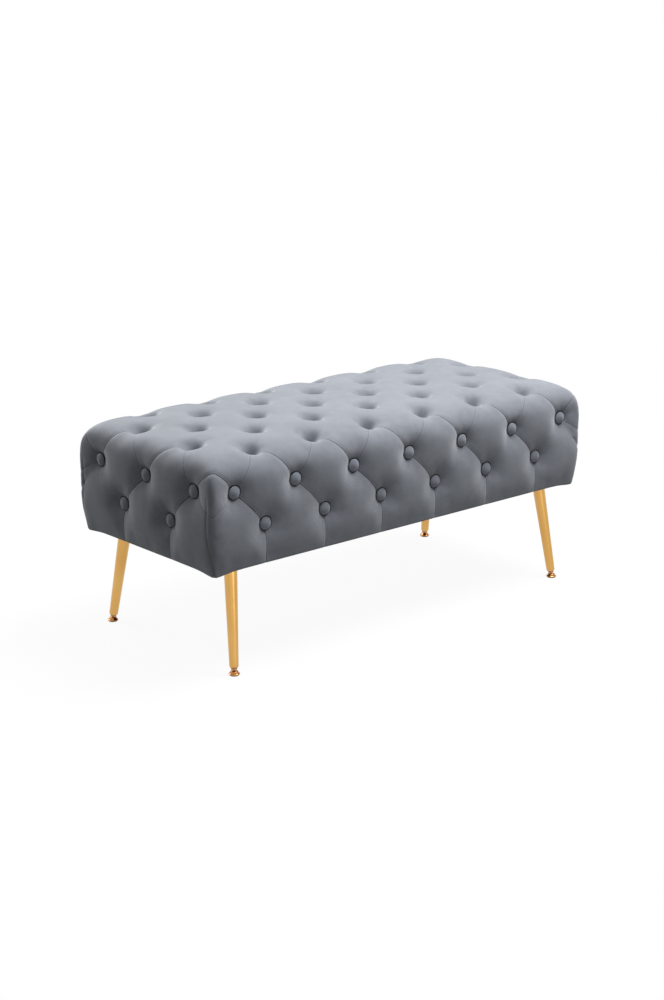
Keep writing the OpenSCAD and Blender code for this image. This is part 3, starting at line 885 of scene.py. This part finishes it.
@dataclass
class VelvetCover:
    """The one tufted cover: seat, walls, corner seams and the hem turned under the box."""

    form: TuftedForm
    puffing: Puffing = Puffing()
    fineness: int = 6
    fold_depth: float = 1.8 * MM
    fold_w: float = 3.2 * MM
    seam_depth: float = 1.2 * MM
    seam_w: float = 3 * MM
    corner_panel: float = 80 * MM
    button_grip: tuple[float, float] = (20.4 * MM, 8.4 * MM)
    line_grip: tuple[float, float] = (6 * MM, 2 * MM)
    name: str = "velvet_cover_tufted"

    def lattice_box(self) -> bmesh.types.BMesh:
        """Welds five grids into an open box whose coordinates are lattice steps.

        Returns:
            The box.
        """
        a, b, m = self.form.wall_a, self.form.wall_b, HEM_END
        long_n, wide_n, tall_n = 2 * a * self.fineness, 2 * b * self.fineness, m * self.fineness
        grids = [(long_n, wide_n, Matrix.Diagonal((a, b, 1, 1)))]
        for sign in (-1, 1):
            upright = Matrix.Translation((0, sign * b, -m / 2)) @ Matrix.Rotation(sign * -math.pi / 2, 4, "X")
            grids.append((long_n, tall_n, upright @ Matrix.Diagonal((a, m / 2, 1, 1))))
            upright = Matrix.Translation((sign * a, 0, -m / 2)) @ Matrix.Rotation(sign * math.pi / 2, 4, "Y")
            grids.append((tall_n, wide_n, upright @ Matrix.Diagonal((m / 2, b, 1, 1))))
        bm = bmesh.new()
        for x_n, y_n, matrix in grids:
            bmesh.ops.create_grid(bm, x_segments=x_n, y_segments=y_n, size=1, matrix=matrix)
        bmesh.ops.remove_doubles(bm, verts=list(bm.verts), dist=1e-3)
        bmesh.ops.recalc_face_normals(bm, faces=list(bm.faces))
        if max(bm.faces, key=lambda f: f.calc_center_median().z).normal.z < 0:
            bmesh.ops.reverse_faces(bm, faces=list(bm.faces))
        return bm

    def steps(self, mesh: Mesh) -> Steps:
        """Reads the lattice steps that a mesh carries.

        Args:
            mesh: A mesh with the steps attribute.

        Returns:
            The steps, kept within the lattice.
        """
        a, b, m = read(mesh.attributes["steps"].data, "vector").T
        out_a, out_b = self.form.wall_a, self.form.wall_b
        return Steps(np.clip(a, -out_a, out_a), np.clip(b, -out_b, out_b), np.maximum(m, 0))

    def draw_down(self, mesh: Mesh, points: Array, amount: Array) -> None:
        """Puts a mesh's vertices in their places and moves them inwards along its own normals."""
        put(mesh, points)
        put(mesh, points - read(mesh.vertices, "normal") * amount[:, None])

    def hold(self, piece: Piece, facts: Facts, m: Array, seam: Array) -> None:
        """Pins the velvet where buttons, folds, seams and the hem hold it.

        Args:
            piece: The cover.
            facts: What the form says of each vertex.
            m: The steps down the walls.
            seam: Which vertices lie on a corner seam.
        """
        at_button = ramp(facts.button, *self.button_grip)
        at_fold = ramp(facts.first, *self.line_grip) * ramp(facts.level, 0, 0.625) * (m < 2.2)
        at_pleat = ramp(facts.pleat, *self.line_grip) * facts.hanging
        weight = np.maximum.reduce([at_button, at_fold, at_pleat, ramp(m, 3.8, 4.1), seam * (m > 0.1)])
        group = piece.vertex_groups.new(name="held")
        for k in np.nonzero(weight > 0.01)[0]:
            group.add([int(k)], float(weight[k]), "REPLACE")

    def puff(self, piece: Piece) -> None:
        """Blows the velvet out between its ties and keeps the result, within the cap.

        Args:
            piece: The cover.
        """
        how = self.puffing
        start = read(piece.data.vertices, "co")
        cloth = piece.modifiers.new("puff", "CLOTH")
        settings = cloth.settings
        settings.quality = how.quality
        settings.mass = how.mass
        settings.tension_stiffness = how.stiffness
        settings.compression_stiffness = how.stiffness
        settings.shear_stiffness = how.stiffness / 3
        settings.bending_stiffness = how.bending
        settings.use_pressure = True
        settings.uniform_pressure_force = how.pressure
        settings.shrink_min = how.slack
        settings.effector_weights.gravity = 0
        settings.vertex_group_mass = "held"
        cloth.collision_settings.use_collision = False
        cloth.point_cache.frame_start = 1
        cloth.point_cache.frame_end = how.frames
        scene = bpy.context.scene
        for number in range(1, how.frames + 1):
            scene.frame_set(number)
        seen = piece.evaluated_get(bpy.context.evaluated_depsgraph_get())
        move = self.calm(piece.data, read(seen.data.vertices, "co") - start)
        piece.modifiers.remove(cloth)
        scene.frame_set(1)
        far = np.linalg.norm(move, axis=1)
        LOG.info("puffing moved the velvet by up to %.1f mm", far.max() / MM)
        kept = how.cap * np.tanh(far / how.cap) / np.maximum(far, 1e-9)
        put(piece.data, start + move * kept[:, None])

    def calm(self, mesh: Mesh, move: Array) -> Array:
        """Evens out a movement between neighbours, so that no wrinkle is as narrow as one face.

        Args:
            mesh: The mesh that moves.
            move: How far each vertex moves.

        Returns:
            The calmer movement.
        """
        ends = np.empty(len(mesh.edges) * 2, np.int32)
        mesh.edges.foreach_get("vertices", ends)
        first, second = ends[::2], ends[1::2]
        count = np.bincount(ends, minlength=len(move))[:, None]
        for _ in range(self.puffing.smoothing):
            total = np.zeros_like(move)
            np.add.at(total, first, move[second])
            np.add.at(total, second, move[first])
            move = 0.5 * move + 0.5 * total / count
        return move

    def build(self) -> Piece:
        """Builds the cover's mesh.

        Returns:
            The cover, puffed, folded and seamed.
        """
        bm = self.lattice_box()
        steps = np.array([(v.co.x, v.co.y, -v.co.z) for v in bm.verts])
        piece = to_object(bm, self.name)
        mesh = piece.data
        write(mesh, "steps", "POINT", steps)
        at = self.steps(mesh)
        smooth = self.form.place(at)
        put(mesh, smooth)
        facts = self.form.facts(at, smooth, read(mesh.vertices, "normal"))
        self.draw_down(mesh, smooth, facts.depth)
        edge_a, edge_b = self.form.wall_a - 0.01, self.form.wall_b - 0.01
        self.hold(piece, facts, at.m, (np.abs(at.a) > edge_a) & (np.abs(at.b) > edge_b))
        self.puff(piece)
        piece = self.refine(piece)
        self.fold(piece.data)
        self.mark(piece.data)
        self.close(piece.data)
        return piece

    def refine(self, piece: Piece) -> Piece:
        """Subdivides the cover once and keeps the finer mesh.

        Args:
            piece: The cover.

        Returns:
            A new object with the finer mesh.
        """
        piece.modifiers.new("finer", "SUBSURF").levels = 1
        mesh = bpy.data.meshes.new_from_object(piece.evaluated_get(bpy.context.evaluated_depsgraph_get()))
        bpy.data.objects.remove(piece)
        return add_object(self.name, mesh)

    def fold(self, mesh: Mesh) -> None:
        """Presses in the thin folds between buttons, the pleats and the corner seams.

        Args:
            mesh: The finer cover.
        """
        at = self.steps(mesh)
        points = read(mesh.vertices, "co")
        facts = self.form.facts(at, points, read(mesh.vertices, "normal"))
        edge = ramp(facts.level, 0, 1 / 2.2) * ramp(at.m, 2.3, 2.0)
        at_corner = (facts.seam > -self.corner_panel) & (at.m > 0) & (facts.outward < 0.9 * FAR)
        line = bell(facts.first, self.fold_w) * edge * ~at_corner
        faint = bell(facts.second, self.fold_w) * edge * np.where(at.m > 0, 0, 0.35)
        corner = 0.5 * bell(facts.outward, self.fold_w)
        pleat = 0.7 * bell(facts.pleat, self.fold_w) * facts.hanging
        seam = bell(facts.seam, self.seam_w) * ramp(at.m, 0, 0.5) * (at.m < ABOVE_HEM)
        # distance to the nearest wall button, which sets where the velvet's painted shade ring lies
        write(mesh, "tie_reach", "POINT", facts.beside / MM)
        amount = self.fold_depth * np.maximum.reduce([line, faint, corner, pleat]) + self.seam_depth * seam
        self.draw_down(mesh, points, amount)
        for polygon in mesh.polygons:
            polygon.use_smooth = True

    def mark(self, mesh: Mesh) -> None:
        """Writes where the velvet's painted shade and highlight lines run, for its material.

        Args:
            mesh: The finished cover.
        """
        form = self.form
        vert_of = np.empty(len(mesh.loops), np.int32)
        mesh.loops.foreach_get("vertex_index", vert_of)
        sizes = np.empty(len(mesh.polygons), np.int32)
        mesh.polygons.foreach_get("loop_total", sizes)
        face_of = np.repeat(np.arange(len(sizes)), sizes)
        at = Steps(*(values[vert_of] for values in self.steps(mesh)))
        mid = Steps(*((np.bincount(face_of, values) / sizes)[face_of] for values in at))
        wall = mid.m > 1e-4
        on_long = wall & (np.abs(mid.b) > form.wall_b - 1e-3)
        on_short = wall & ~on_long
        past_a, past_b = np.abs(mid.a) > form.seat_a, np.abs(mid.b) > form.seat_b
        corner_wall = wall & np.where(on_long, past_a, past_b)
        down = np.where(corner_wall, 2 * at.m, at.m)
        i = np.where(on_short, np.sign(mid.a) * (form.wall_a + down), at.a) / 2
        j = np.where(on_long, np.sign(mid.b) * (form.wall_b + down), at.b) / 2
        column = np.where(on_long, i, j)
        start = ramp(np.maximum(*form.turned(at)), 0, 0.4)
        same = np.sign(mid.a) == np.sign(mid.b)
        in_corner = 0.8 * ramp(at.m, CORNER_END, 1.2)
        on_wall = np.where(wall, ramp(at.m, 2.05, 1.95), start)
        first = np.where(corner_wall, np.where(same, 0, in_corner), on_wall)
        second = np.where(corner_wall, np.where(same, in_corner, 0), np.where(wall, 0, 0.4 * start))
        second = np.where(~wall & past_a & past_b, 0.8, second)
        last = np.where(on_long, form.seat_a, form.seat_b) / 2
        pleat = 0.7 * (wall & (np.abs(column) <= last) & (at.m > BELOW_ROW) & (at.m < ABOVE_HEM))
        from_a, from_b = form.wall_a - np.abs(at.a), form.wall_b - np.abs(at.b)
        to_corner = np.where(on_long, from_a * form.corner_long, from_b * form.corner_short) / 2
        away = np.where(wall & (at.m < ABOVE_HEM), form.to_seam(on_long, to_corner, at.m) / MM, 99)
        write(mesh, "lattice", "CORNER", np.stack([i + j, i - j, column], axis=1))
        write(mesh, "held_lines", "CORNER", np.stack([first, second, pleat], axis=1))
        write(mesh, "corner_seam", "CORNER", away)

    def close(self, mesh: Mesh) -> None:
        """Closes the cover under the box, inside the hem.

        Args:
            mesh: The finished cover.
        """
        bm = bmesh.new()
        bm.from_mesh(mesh)
        bmesh.ops.contextual_create(bm, geom=[e for e in bm.edges if e.is_boundary])
        bm.to_mesh(mesh)
        bm.free()

    def dress(self, velvet: Material) -> None:
        """Builds the cover, gives it its velvet and puts it over its node."""
        piece = finish_piece(self.build(), BENCH, velvet, "velvet_cover")


@dataclass
class CoveredButtons:
    """The covered buttons of one face: domed shells with velvet drawn round their rims."""

    face: Face
    form: TuftedForm
    radius: float = 13.5 * MM
    height: float = 7 * MM
    lean_deg: float = 3
    steps: int = 28

    def dome(self) -> list[tuple[float, float]]:
        """The outline of a button, from the middle of its crown to the middle of its back.

        Returns:
            Points of radius and height.
        """
        r, h = self.radius, self.height
        crown = [(r * s, h * (1 - 0.62 * s * s)) for s in np.linspace(0, 0.93, 9)]
        rim = [(r * 0.98, 0.385 * h), (r, 0.28 * h), (r * 0.985, 0.15 * h), (r * 0.93, 0.05 * h)]
        return crown + rim + [(r * 0.8, 0.0), (0.0, 0.0)]

    def dress(self, velvet: Material) -> None:
        """Builds the buttons as one piece over their node.

        Args:
            velvet: Their velvet.
        """
        node = self.face.name.lower() + "_buttons"
        out, pit = Vector(self.face.value), self.face.pit
        turned = out.to_track_quat("Z", "Y").to_matrix().to_4x4()
        chance = random.Random(len(node))
        bm = bmesh.new()
        for face, place in self.form.ties:
            if face is self.face:
                lean = Matrix.Rotation(math.radians(chance.uniform(-self.lean_deg, self.lean_deg)), 4, "X")
                spin = Matrix.Rotation(chance.uniform(0, math.tau), 4, "Z")
                back = Matrix.Translation(place - out * (pit.hole + pit.dish - pit.lift))
                turn_profile(bm, self.dome(), self.steps, back @ turned @ spin @ lean)
        finish_piece(to_object(bm, node + "_covered"), BENCH, velvet, node)


@dataclass
class Leg:
    """One splayed leg: a tapered tube welded to its plate, and the glide in its foot end."""

    corner: Corner
    satin: Material
    polished: Material
    rubber: Material
    foot: tuple[float, float] = (471 * MM, 213 * MM)
    splay: tuple[float, float] = (20 * MM, 33 * MM)
    ball_z: float = 6.6 * MM
    ball_r: float = 4 * MM
    plate_z: float = 224.2 * MM
    top_d: float = 28 * MM
    foot_d: float = 19 * MM
    wall: float = 1.2 * MM
    lift: float = 9.1 * MM
    roll: float = 2.9 * MM
    bead: float = 1.3 * MM
    neck_r: float = 2.2 * MM
    collar_r: float = 6.8 * MM
    rod_r: float = 3.7 * MM
    groove_z: float = 7.0 * MM
    glide_r: float = 11.5 * MM
    socket_r: float = 4.05 * MM
    mouth_r: float = 3.26 * MM
    pad_h: float = 2.0 * MM
    flare_mm: tuple[tuple[float, float], ...] = (
        (0, 2.05), (11.2, 2.05), (11.5, 2.4), (11.5, 3.6), (11.0, 4.0),
        (10.0, 4.9), (8.9, 6.5), (7.9, 8.2), (7.4, 8.8), (6.9, 9.0), (3.46, 9.0),
    )

    @property
    def label(self) -> str:
        """The name that the leg's pieces and bodies begin with."""
        return self.corner.name.lower()

    @cached_property
    def ball(self) -> Vector:
        """The middle of the glide's ball."""
        sx, sy = self.corner.value
        return Vector((sx * self.foot[0], sy * self.foot[1], self.ball_z))

    @cached_property
    def rise(self) -> Vector:
        """From the ball to the middle of the tube's top."""
        sx, sy = self.corner.value
        return Vector((-sx * self.splay[0], -sy * self.splay[1], self.plate_z - self.ball_z))

    @cached_property
    def axis(self) -> Matrix:
        """The leg's own place: Z along the tube, up from the ball."""
        return Matrix.Translation(self.ball) @ self.rise.to_track_quat("Z", "Y").to_matrix().to_4x4()

    def tube(self) -> None:
        """Builds the tapered tube, cut level under its plate."""
        length = self.rise.length
        over = length + self.top_d
        rate = (self.top_d - self.foot_d) / 2 / (length - self.lift)
        foot_r = self.foot_d / 2
        top_r = foot_r + (over - self.lift) * rate
        roll = [
            (foot_r - self.roll * (1 - math.sin(t)), self.lift + self.roll * (1 - math.cos(t)))
            for t in np.linspace(0, math.pi / 2, 8)
        ]
        inner = [(top_r - self.wall, over), (foot_r - self.roll, self.lift + 2 * self.roll)]
        bm = bmesh.new()
        turn_profile(bm, [*roll, (top_r, over), *inner, roll[0]], 72, self.axis)
        level = {"plane_co": (0, 0, self.plate_z), "plane_no": (0, 0, 1)}
        bmesh.ops.bisect_plane(bm, geom=everything(bm), clear_outer=True, **level)
        piece = to_object(bm, self.label + "_leg_tube")
        finish_piece(piece, BENCH, self.satin, self.label + "_leg")

    def weld(self) -> None:
        """Builds the bead of weld between the tube and its plate."""
        bm = bmesh.new()
        radius, bead = self.top_d / 2 + 0.4 * MM, self.bead
        turns = np.linspace(0, math.tau, 9)
        ring = [(radius + bead * math.cos(t), -bead * 0.6 + bead * math.sin(t)) for t in turns]
        turn_profile(bm, ring, 48, Matrix.Translation(self.ball + self.rise))
        piece = to_object(bm, self.label + "_leg_weld")
        finish_piece(piece, BENCH, self.satin)

    def stem(self) -> None:
        """Builds the glide's stem: ball, neck, collar and threaded rod."""
        collar, rod, groove = self.collar_r, self.rod_r, self.groove_z
        low, high, end = 5.4 * MM, 8.8 * MM, 34.8 * MM
        edge, nick, tip = 0.5 * MM, 0.3 * MM, 0.8 * MM
        start = math.asin(self.neck_r / self.ball_r)
        turns = np.linspace(0, math.pi - start, 12)
        outline = [(self.ball_r * math.sin(t), -self.ball_r * math.cos(t)) for t in turns] + [
            (self.neck_r, low), (collar - edge, low), (collar, low + edge),
            (collar, groove - nick), (collar - edge, groove), (collar, groove + nick),
            (collar, high - edge), (collar - edge, high), (rod, high),
            (rod, end - tip), (rod - tip, end), (0, end),
        ]
        bm = bmesh.new()
        turn_profile(bm, outline, 40, self.axis)
        self.thread(bm, high + 0.6 * MM, end - 1.2 * MM)
        piece = to_object(bm, self.label + "_glide_stem_threaded")
        finish_piece(piece, self.label + "_stem", self.polished, self.label + "_glide_stem")

    def thread(self, bm: bmesh.types.BMesh, low: float, high: float) -> None:
        """Winds an M8 thread of 1.25 mm pitch round the stem.

        Args:
            bm: The stem's bmesh.
            low: Where it starts along the stem.
            high: Where it ends.
        """
        pitch, root, crest = 1.25 * MM, self.rod_r - 0.05 * MM, self.rod_r + 0.22 * MM
        outline = [(root, low), (crest, low + 0.45 * pitch), (root, low + 0.9 * pitch)]
        turn_profile(bm, outline, 18, self.axis, turns=int((high - low) / pitch), rise=pitch)

    def foot_disc(self) -> None:
        """Builds the glide's flared foot and the pad under it."""
        place = Matrix.Translation((self.ball.x, self.ball.y, 0))
        start = math.acos(self.mouth_r / self.socket_r)
        bowl = [
            (self.socket_r * math.cos(t), self.ball_z + self.socket_r * math.sin(t))
            for t in np.linspace(start, -math.pi / 2, 9)
        ]
        bm = bmesh.new()
        turn_profile(bm, [(r * MM, z * MM) for r, z in self.flare_mm] + bowl, 48, place)
        piece = to_object(bm, self.label + "_glide_foot_flared")
        finish_piece(piece, self.label + "_foot", self.polished, self.label + "_glide_foot")
        pad_r, edge = self.glide_r - 1.5 * MM, 0.5 * MM
        outline = [(0, 0), (pad_r - edge, 0), (pad_r, edge), (pad_r, self.pad_h), (0, self.pad_h)]
        bm = bmesh.new()
        turn_profile(bm, outline, 48, place)
        piece = to_object(bm, self.label + "_glide_pad_round")
        finish_piece(piece, self.label + "_foot", self.rubber, self.label + "_glide_pad")

    def dress(self) -> None:
        """Builds the leg and its glide."""
        self.tube()
        self.weld()
        self.stem()
        self.foot_disc()


@dataclass
class InnerPadding:
    """The foam slabs under the velvet, a little slack so that they stay inside it."""

    nodes: tuple[str, ...] = ("top_foam", "front_foam", "back_foam", "left_foam", "right_foam")
    slack: float = 5 * MM

    def dress(self, foam: Material) -> None:
        """Builds each slab from its solid, drawn in from the velvet.

        Args:
            foam: The foam.
        """
        for name in self.nodes:
            bm = bmesh.new()
            bm.from_mesh(NODES[name].data)
            bmesh.ops.remove_doubles(bm, verts=list(bm.verts), dist=1e-5)
            bm.normal_update()
            for vert in bm.verts:
                vert.co -= vert.normal * self.slack
            piece = finish_piece(to_object(bm, name + "_slab", smooth=False), BENCH, foam, name)


@dataclass
class DustCover:
    """The black cloth stapled under the box, stretched flat with a slight sag between its staples."""

    length: float = 1029 * MM
    width: float = 429 * MM
    corner_r: float = 12 * MM
    top: float = 227.9 * MM
    thickness: float = 0.6 * MM
    sag: float = 1.2 * MM
    mesh_step: float = 26 * MM
    ripple: tuple[float, float] = (78 * MM, 110 * MM)
    flat_from: float = 395 * MM  # from the middle, where the leg plates start
    flat_over: float = 60 * MM

    def dress(self, cloth: Material) -> None:
        """Builds the cloth as one stretched sheet over its node.

        Args:
            cloth: The cloth.
        """
        half_l, half_w = self.length / 2, self.width / 2
        bm = bmesh.new()
        level = Matrix.Translation((0, 0, self.top)) @ Matrix.Diagonal((half_l, half_w, 1, 1))
        bmesh.ops.create_grid(bm, x_segments=1, y_segments=1, size=1, matrix=level)
        rounding = {"segments": 6, "affect": "VERTICES", "profile": 0.5, "material": -1}
        bmesh.ops.bevel(bm, geom=list(bm.verts), offset=self.corner_r, **rounding)
        for axis, half in enumerate((half_l, half_w)):
            cuts = round(2 * half / self.mesh_step)
            for k in range(1, cuts):
                place, out = Vector((0, 0, 0)), Vector((0, 0, 0))
                place[axis] = -half + 2 * half * k / cuts
                out[axis] = 1
                bmesh.ops.bisect_plane(bm, geom=everything(bm), plane_co=place, plane_no=out)
        for vert in bm.verts:
            x, y = vert.co.x, vert.co.y
            ripple = math.sin(math.pi * x / self.ripple[0]) * math.cos(math.pi * y / self.ripple[1])
            inside = min(1, max(0, (self.flat_from - abs(x)) / self.flat_over))
            vert.co.z -= self.sag * inside * (0.5 + 0.5 * ripple) * (1 - (y / half_w) ** 2)
        bmesh.ops.solidify(bm, geom=list(bm.faces), thickness=self.thickness)
        bmesh.ops.recalc_face_normals(bm, faces=list(bm.faces))
        piece = finish_piece(to_object(bm, "dust_cover_cloth"), BENCH, cloth, "dust_cover")


@dataclass(frozen=True)
class PhotoCamera:
    """The photograph's camera, as fitted to the buttons, lower edges and feet."""

    place: tuple[float, float, float] = (-2.6461, -2.9991, 1.3955)
    yaw_deg: float = 41.177
    pitch_deg: float = 16.24
    focal_px: float = 1872.6
    long_side_px: float = 1000.0
    sensor_mm: float = 36.0

    def build(self) -> None:
        """Makes the camera the scene's camera."""
        data = bpy.data.cameras.new("photo_camera")
        data.sensor_width = self.sensor_mm
        data.lens = self.focal_px * self.sensor_mm / self.long_side_px
        data.clip_start, data.clip_end = 0.05, 60
        made = add_object("photo_camera", data)
        made.location = self.place
        made.rotation_euler = (math.radians(90 - self.pitch_deg), 0, -math.radians(self.yaw_deg))
        bpy.context.scene.camera = made


class Lamp(NamedTuple):
    """A square soft lamp that looks at the pouf, with its size in metres and its power in watts."""

    name: str
    place: tuple[float, float, float]
    size: float
    power: float


@dataclass(frozen=True)
class Studio:
    """A white floor, a white sky and large soft lamps."""

    sky: float = 0.12
    floor_glow: float = 0.94
    floor_size: float = 14
    lit_near: float = 0.7
    lit_far: float = 1.9
    aim: tuple[float, float, float] = (0, 0, 0.3)
    lamps: tuple[Lamp, ...] = (
        Lamp("lamp_above", (0.7, -0.5, 2.5), 1.6, 108.0),
        Lamp("lamp_left", (-1.1, 2.1, 1.5), 0.9, 24.0),
        Lamp("lamp_low", (-0.2, -3.2, 0.3), 1.0, 11.0),
        Lamp("lamp_fill", (-2.3, -2.3, 1.1), 1.6, 7.0),
    )

    def sky_light(self) -> None:
        """White to the eye and in reflections, and gentler as a light."""
        world = bpy.data.worlds.new("sky")
        bpy.context.scene.world = world
        nodes = Nodes.of(world)
        rays = nodes.add("LightPath").outputs
        seen = nodes.most([rays[f"Is {kind} Ray"] for kind in ("Camera", "Transmission", "Glossy")])
        strength = nodes.span(seen, 0.0, 1.0, self.sky, 1.0)
        back = nodes.add("Background", {"Color": WHITE, "Strength": strength})
        nodes.add("OutputWorld", {"Surface": back.outputs[0]})

    def floor(self) -> None:
        """A pale floor that keeps the pouf's shadow."""
        bm = bmesh.new()
        bmesh.ops.create_grid(bm, x_segments=1, y_segments=1, size=self.floor_size)
        piece = to_object(bm, "floor")
        made = bpy.data.materials.new("pale_floor")
        nodes = Nodes.of(made)
        rays = nodes.add("LightPath").outputs
        seen = nodes.most([rays["Is Camera Ray"], rays["Is Glossy Ray"]])
        far = nodes.add("VectorMath", {0: nodes.place()}, operation="LENGTH").outputs["Value"]
        glow = nodes.span(far, self.lit_near, self.lit_far, self.floor_glow, 1.0, "SMOOTHSTEP")
        matt = nodes.add("BsdfDiffuse", {"Color": nodes.span(seen, 0.0, 1.0, 0.14, 0.9)})
        white = nodes.add("Emission", {"Color": WHITE, "Strength": 1.0})
        share = nodes.math("MULTIPLY", seen, glow)
        mixed = nodes.add("MixShader", {0: share, 1: matt.outputs[0], 2: white.outputs[0]})
        nodes.add("OutputMaterial", {"Surface": mixed.outputs[0]})
        piece.data.materials.append(made)

    def build(self) -> None:
        """Makes the floor, the sky and the lamps."""
        self.sky_light()
        self.floor()
        for lamp in self.lamps:
            data = bpy.data.lights.new(lamp.name, "AREA")
            data.size = lamp.size
            data.energy = lamp.power
            made = add_object(lamp.name, data)
            made.location = lamp.place
            made.rotation_euler = (Vector(self.aim) - made.location).to_track_quat("-Z", "Y").to_euler()
        bpy.context.scene.view_settings.view_transform = "Standard"


def dress_kept_nodes(finishes: dict[str, Material]) -> None:
    """Gives the CAD nodes that stay in view their materials.

    Args:
        finishes: Material slot to material.
    """
    slots = {part["node"]: part["material_slot"] for part in frame["record"]["subparts"]}
    for name, node in NODES.items():
        if node.hide_render:
            continue
        material = finishes[slots[name]]
        if not node.material_slots:
            node.data.materials.append(material)
        for place in node.material_slots:
            place.material = material
        LOG.info("%s keeps its CAD shape, in %s", name, material.name)


def main() -> None:
    """Builds the pouf's pieces in order, then the studio and the camera."""
    logging.basicConfig(level=logging.INFO, format="%(name)s: %(message)s", stream=sys.stdout)
    low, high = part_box("velvet_cover")
    long_mm, wide_mm = ((high[k] - low[k]) / MM for k in (0, 1))
    LOG.info("the cover's solid is %.0f mm long and %.0f mm wide", long_mm, wide_mm)
    form = TuftedForm(half_l=534 * MM, half_w=232 * MM, seat_h=450 * MM, under_z=low[2])
    finishes = {
        "velvet": Velvet("velvet_cover", creased=True).material(),
        "button_velvet": Velvet("velvet_button", ground="#80858e", shade="#757a83", sheen=0.5).material(),
        "gold_satin": PlatedMetal("satin_gold", "#d6a75c", "#ca9748", 0.3).material(),
        "gold_glide": PlatedMetal("copper_gold", "#bd8348", "#965e28", 0.22).material(),
        "pad_rubber": Mottled("hard_rubber", "#2a211d", "#1b1512", 1.5, 0.7).material(),
        "foam": Mottled("cut_foam", "#efe6c8", "#dccf9f", 1.2, 0.95, bump_mm=0.3).material(),
        "zinc_steel": Mottled("zinc_plate", "#b9bbbd", "#8f9294", 4.0, 0.35, 1.0, 0.02).material(),
        "plywood": SawnWood("birch_plywood", "#d8bd8e", "#b8935e").material(),
        "pine": SawnWood("planed_pine", "#e3c998", "#c49a5c", 14.0).material(),
        "twine": Mottled("waxed_twine", "#e2dac6", "#bdb296", 0.5, 0.7).material(),
        "dust_cloth": Mottled("dust_cloth", "#1d1e20", "#0d0d0e", 0.8, 0.95, bump_mm=0.2).material(),
    }
    VelvetCover(form).dress(finishes["velvet"])
    for face in Face:
        CoveredButtons(face, form).dress(finishes["button_velvet"])
    for corner in Corner:
        Leg(corner, finishes["gold_satin"], finishes["gold_glide"], finishes["pad_rubber"]).dress()
    InnerPadding().dress(finishes["foam"])
    DustCover().dress(finishes["dust_cloth"])
    dress_kept_nodes(finishes)
    Studio().build()
    PhotoCamera().build()


if __name__ == "__main__":
    main()
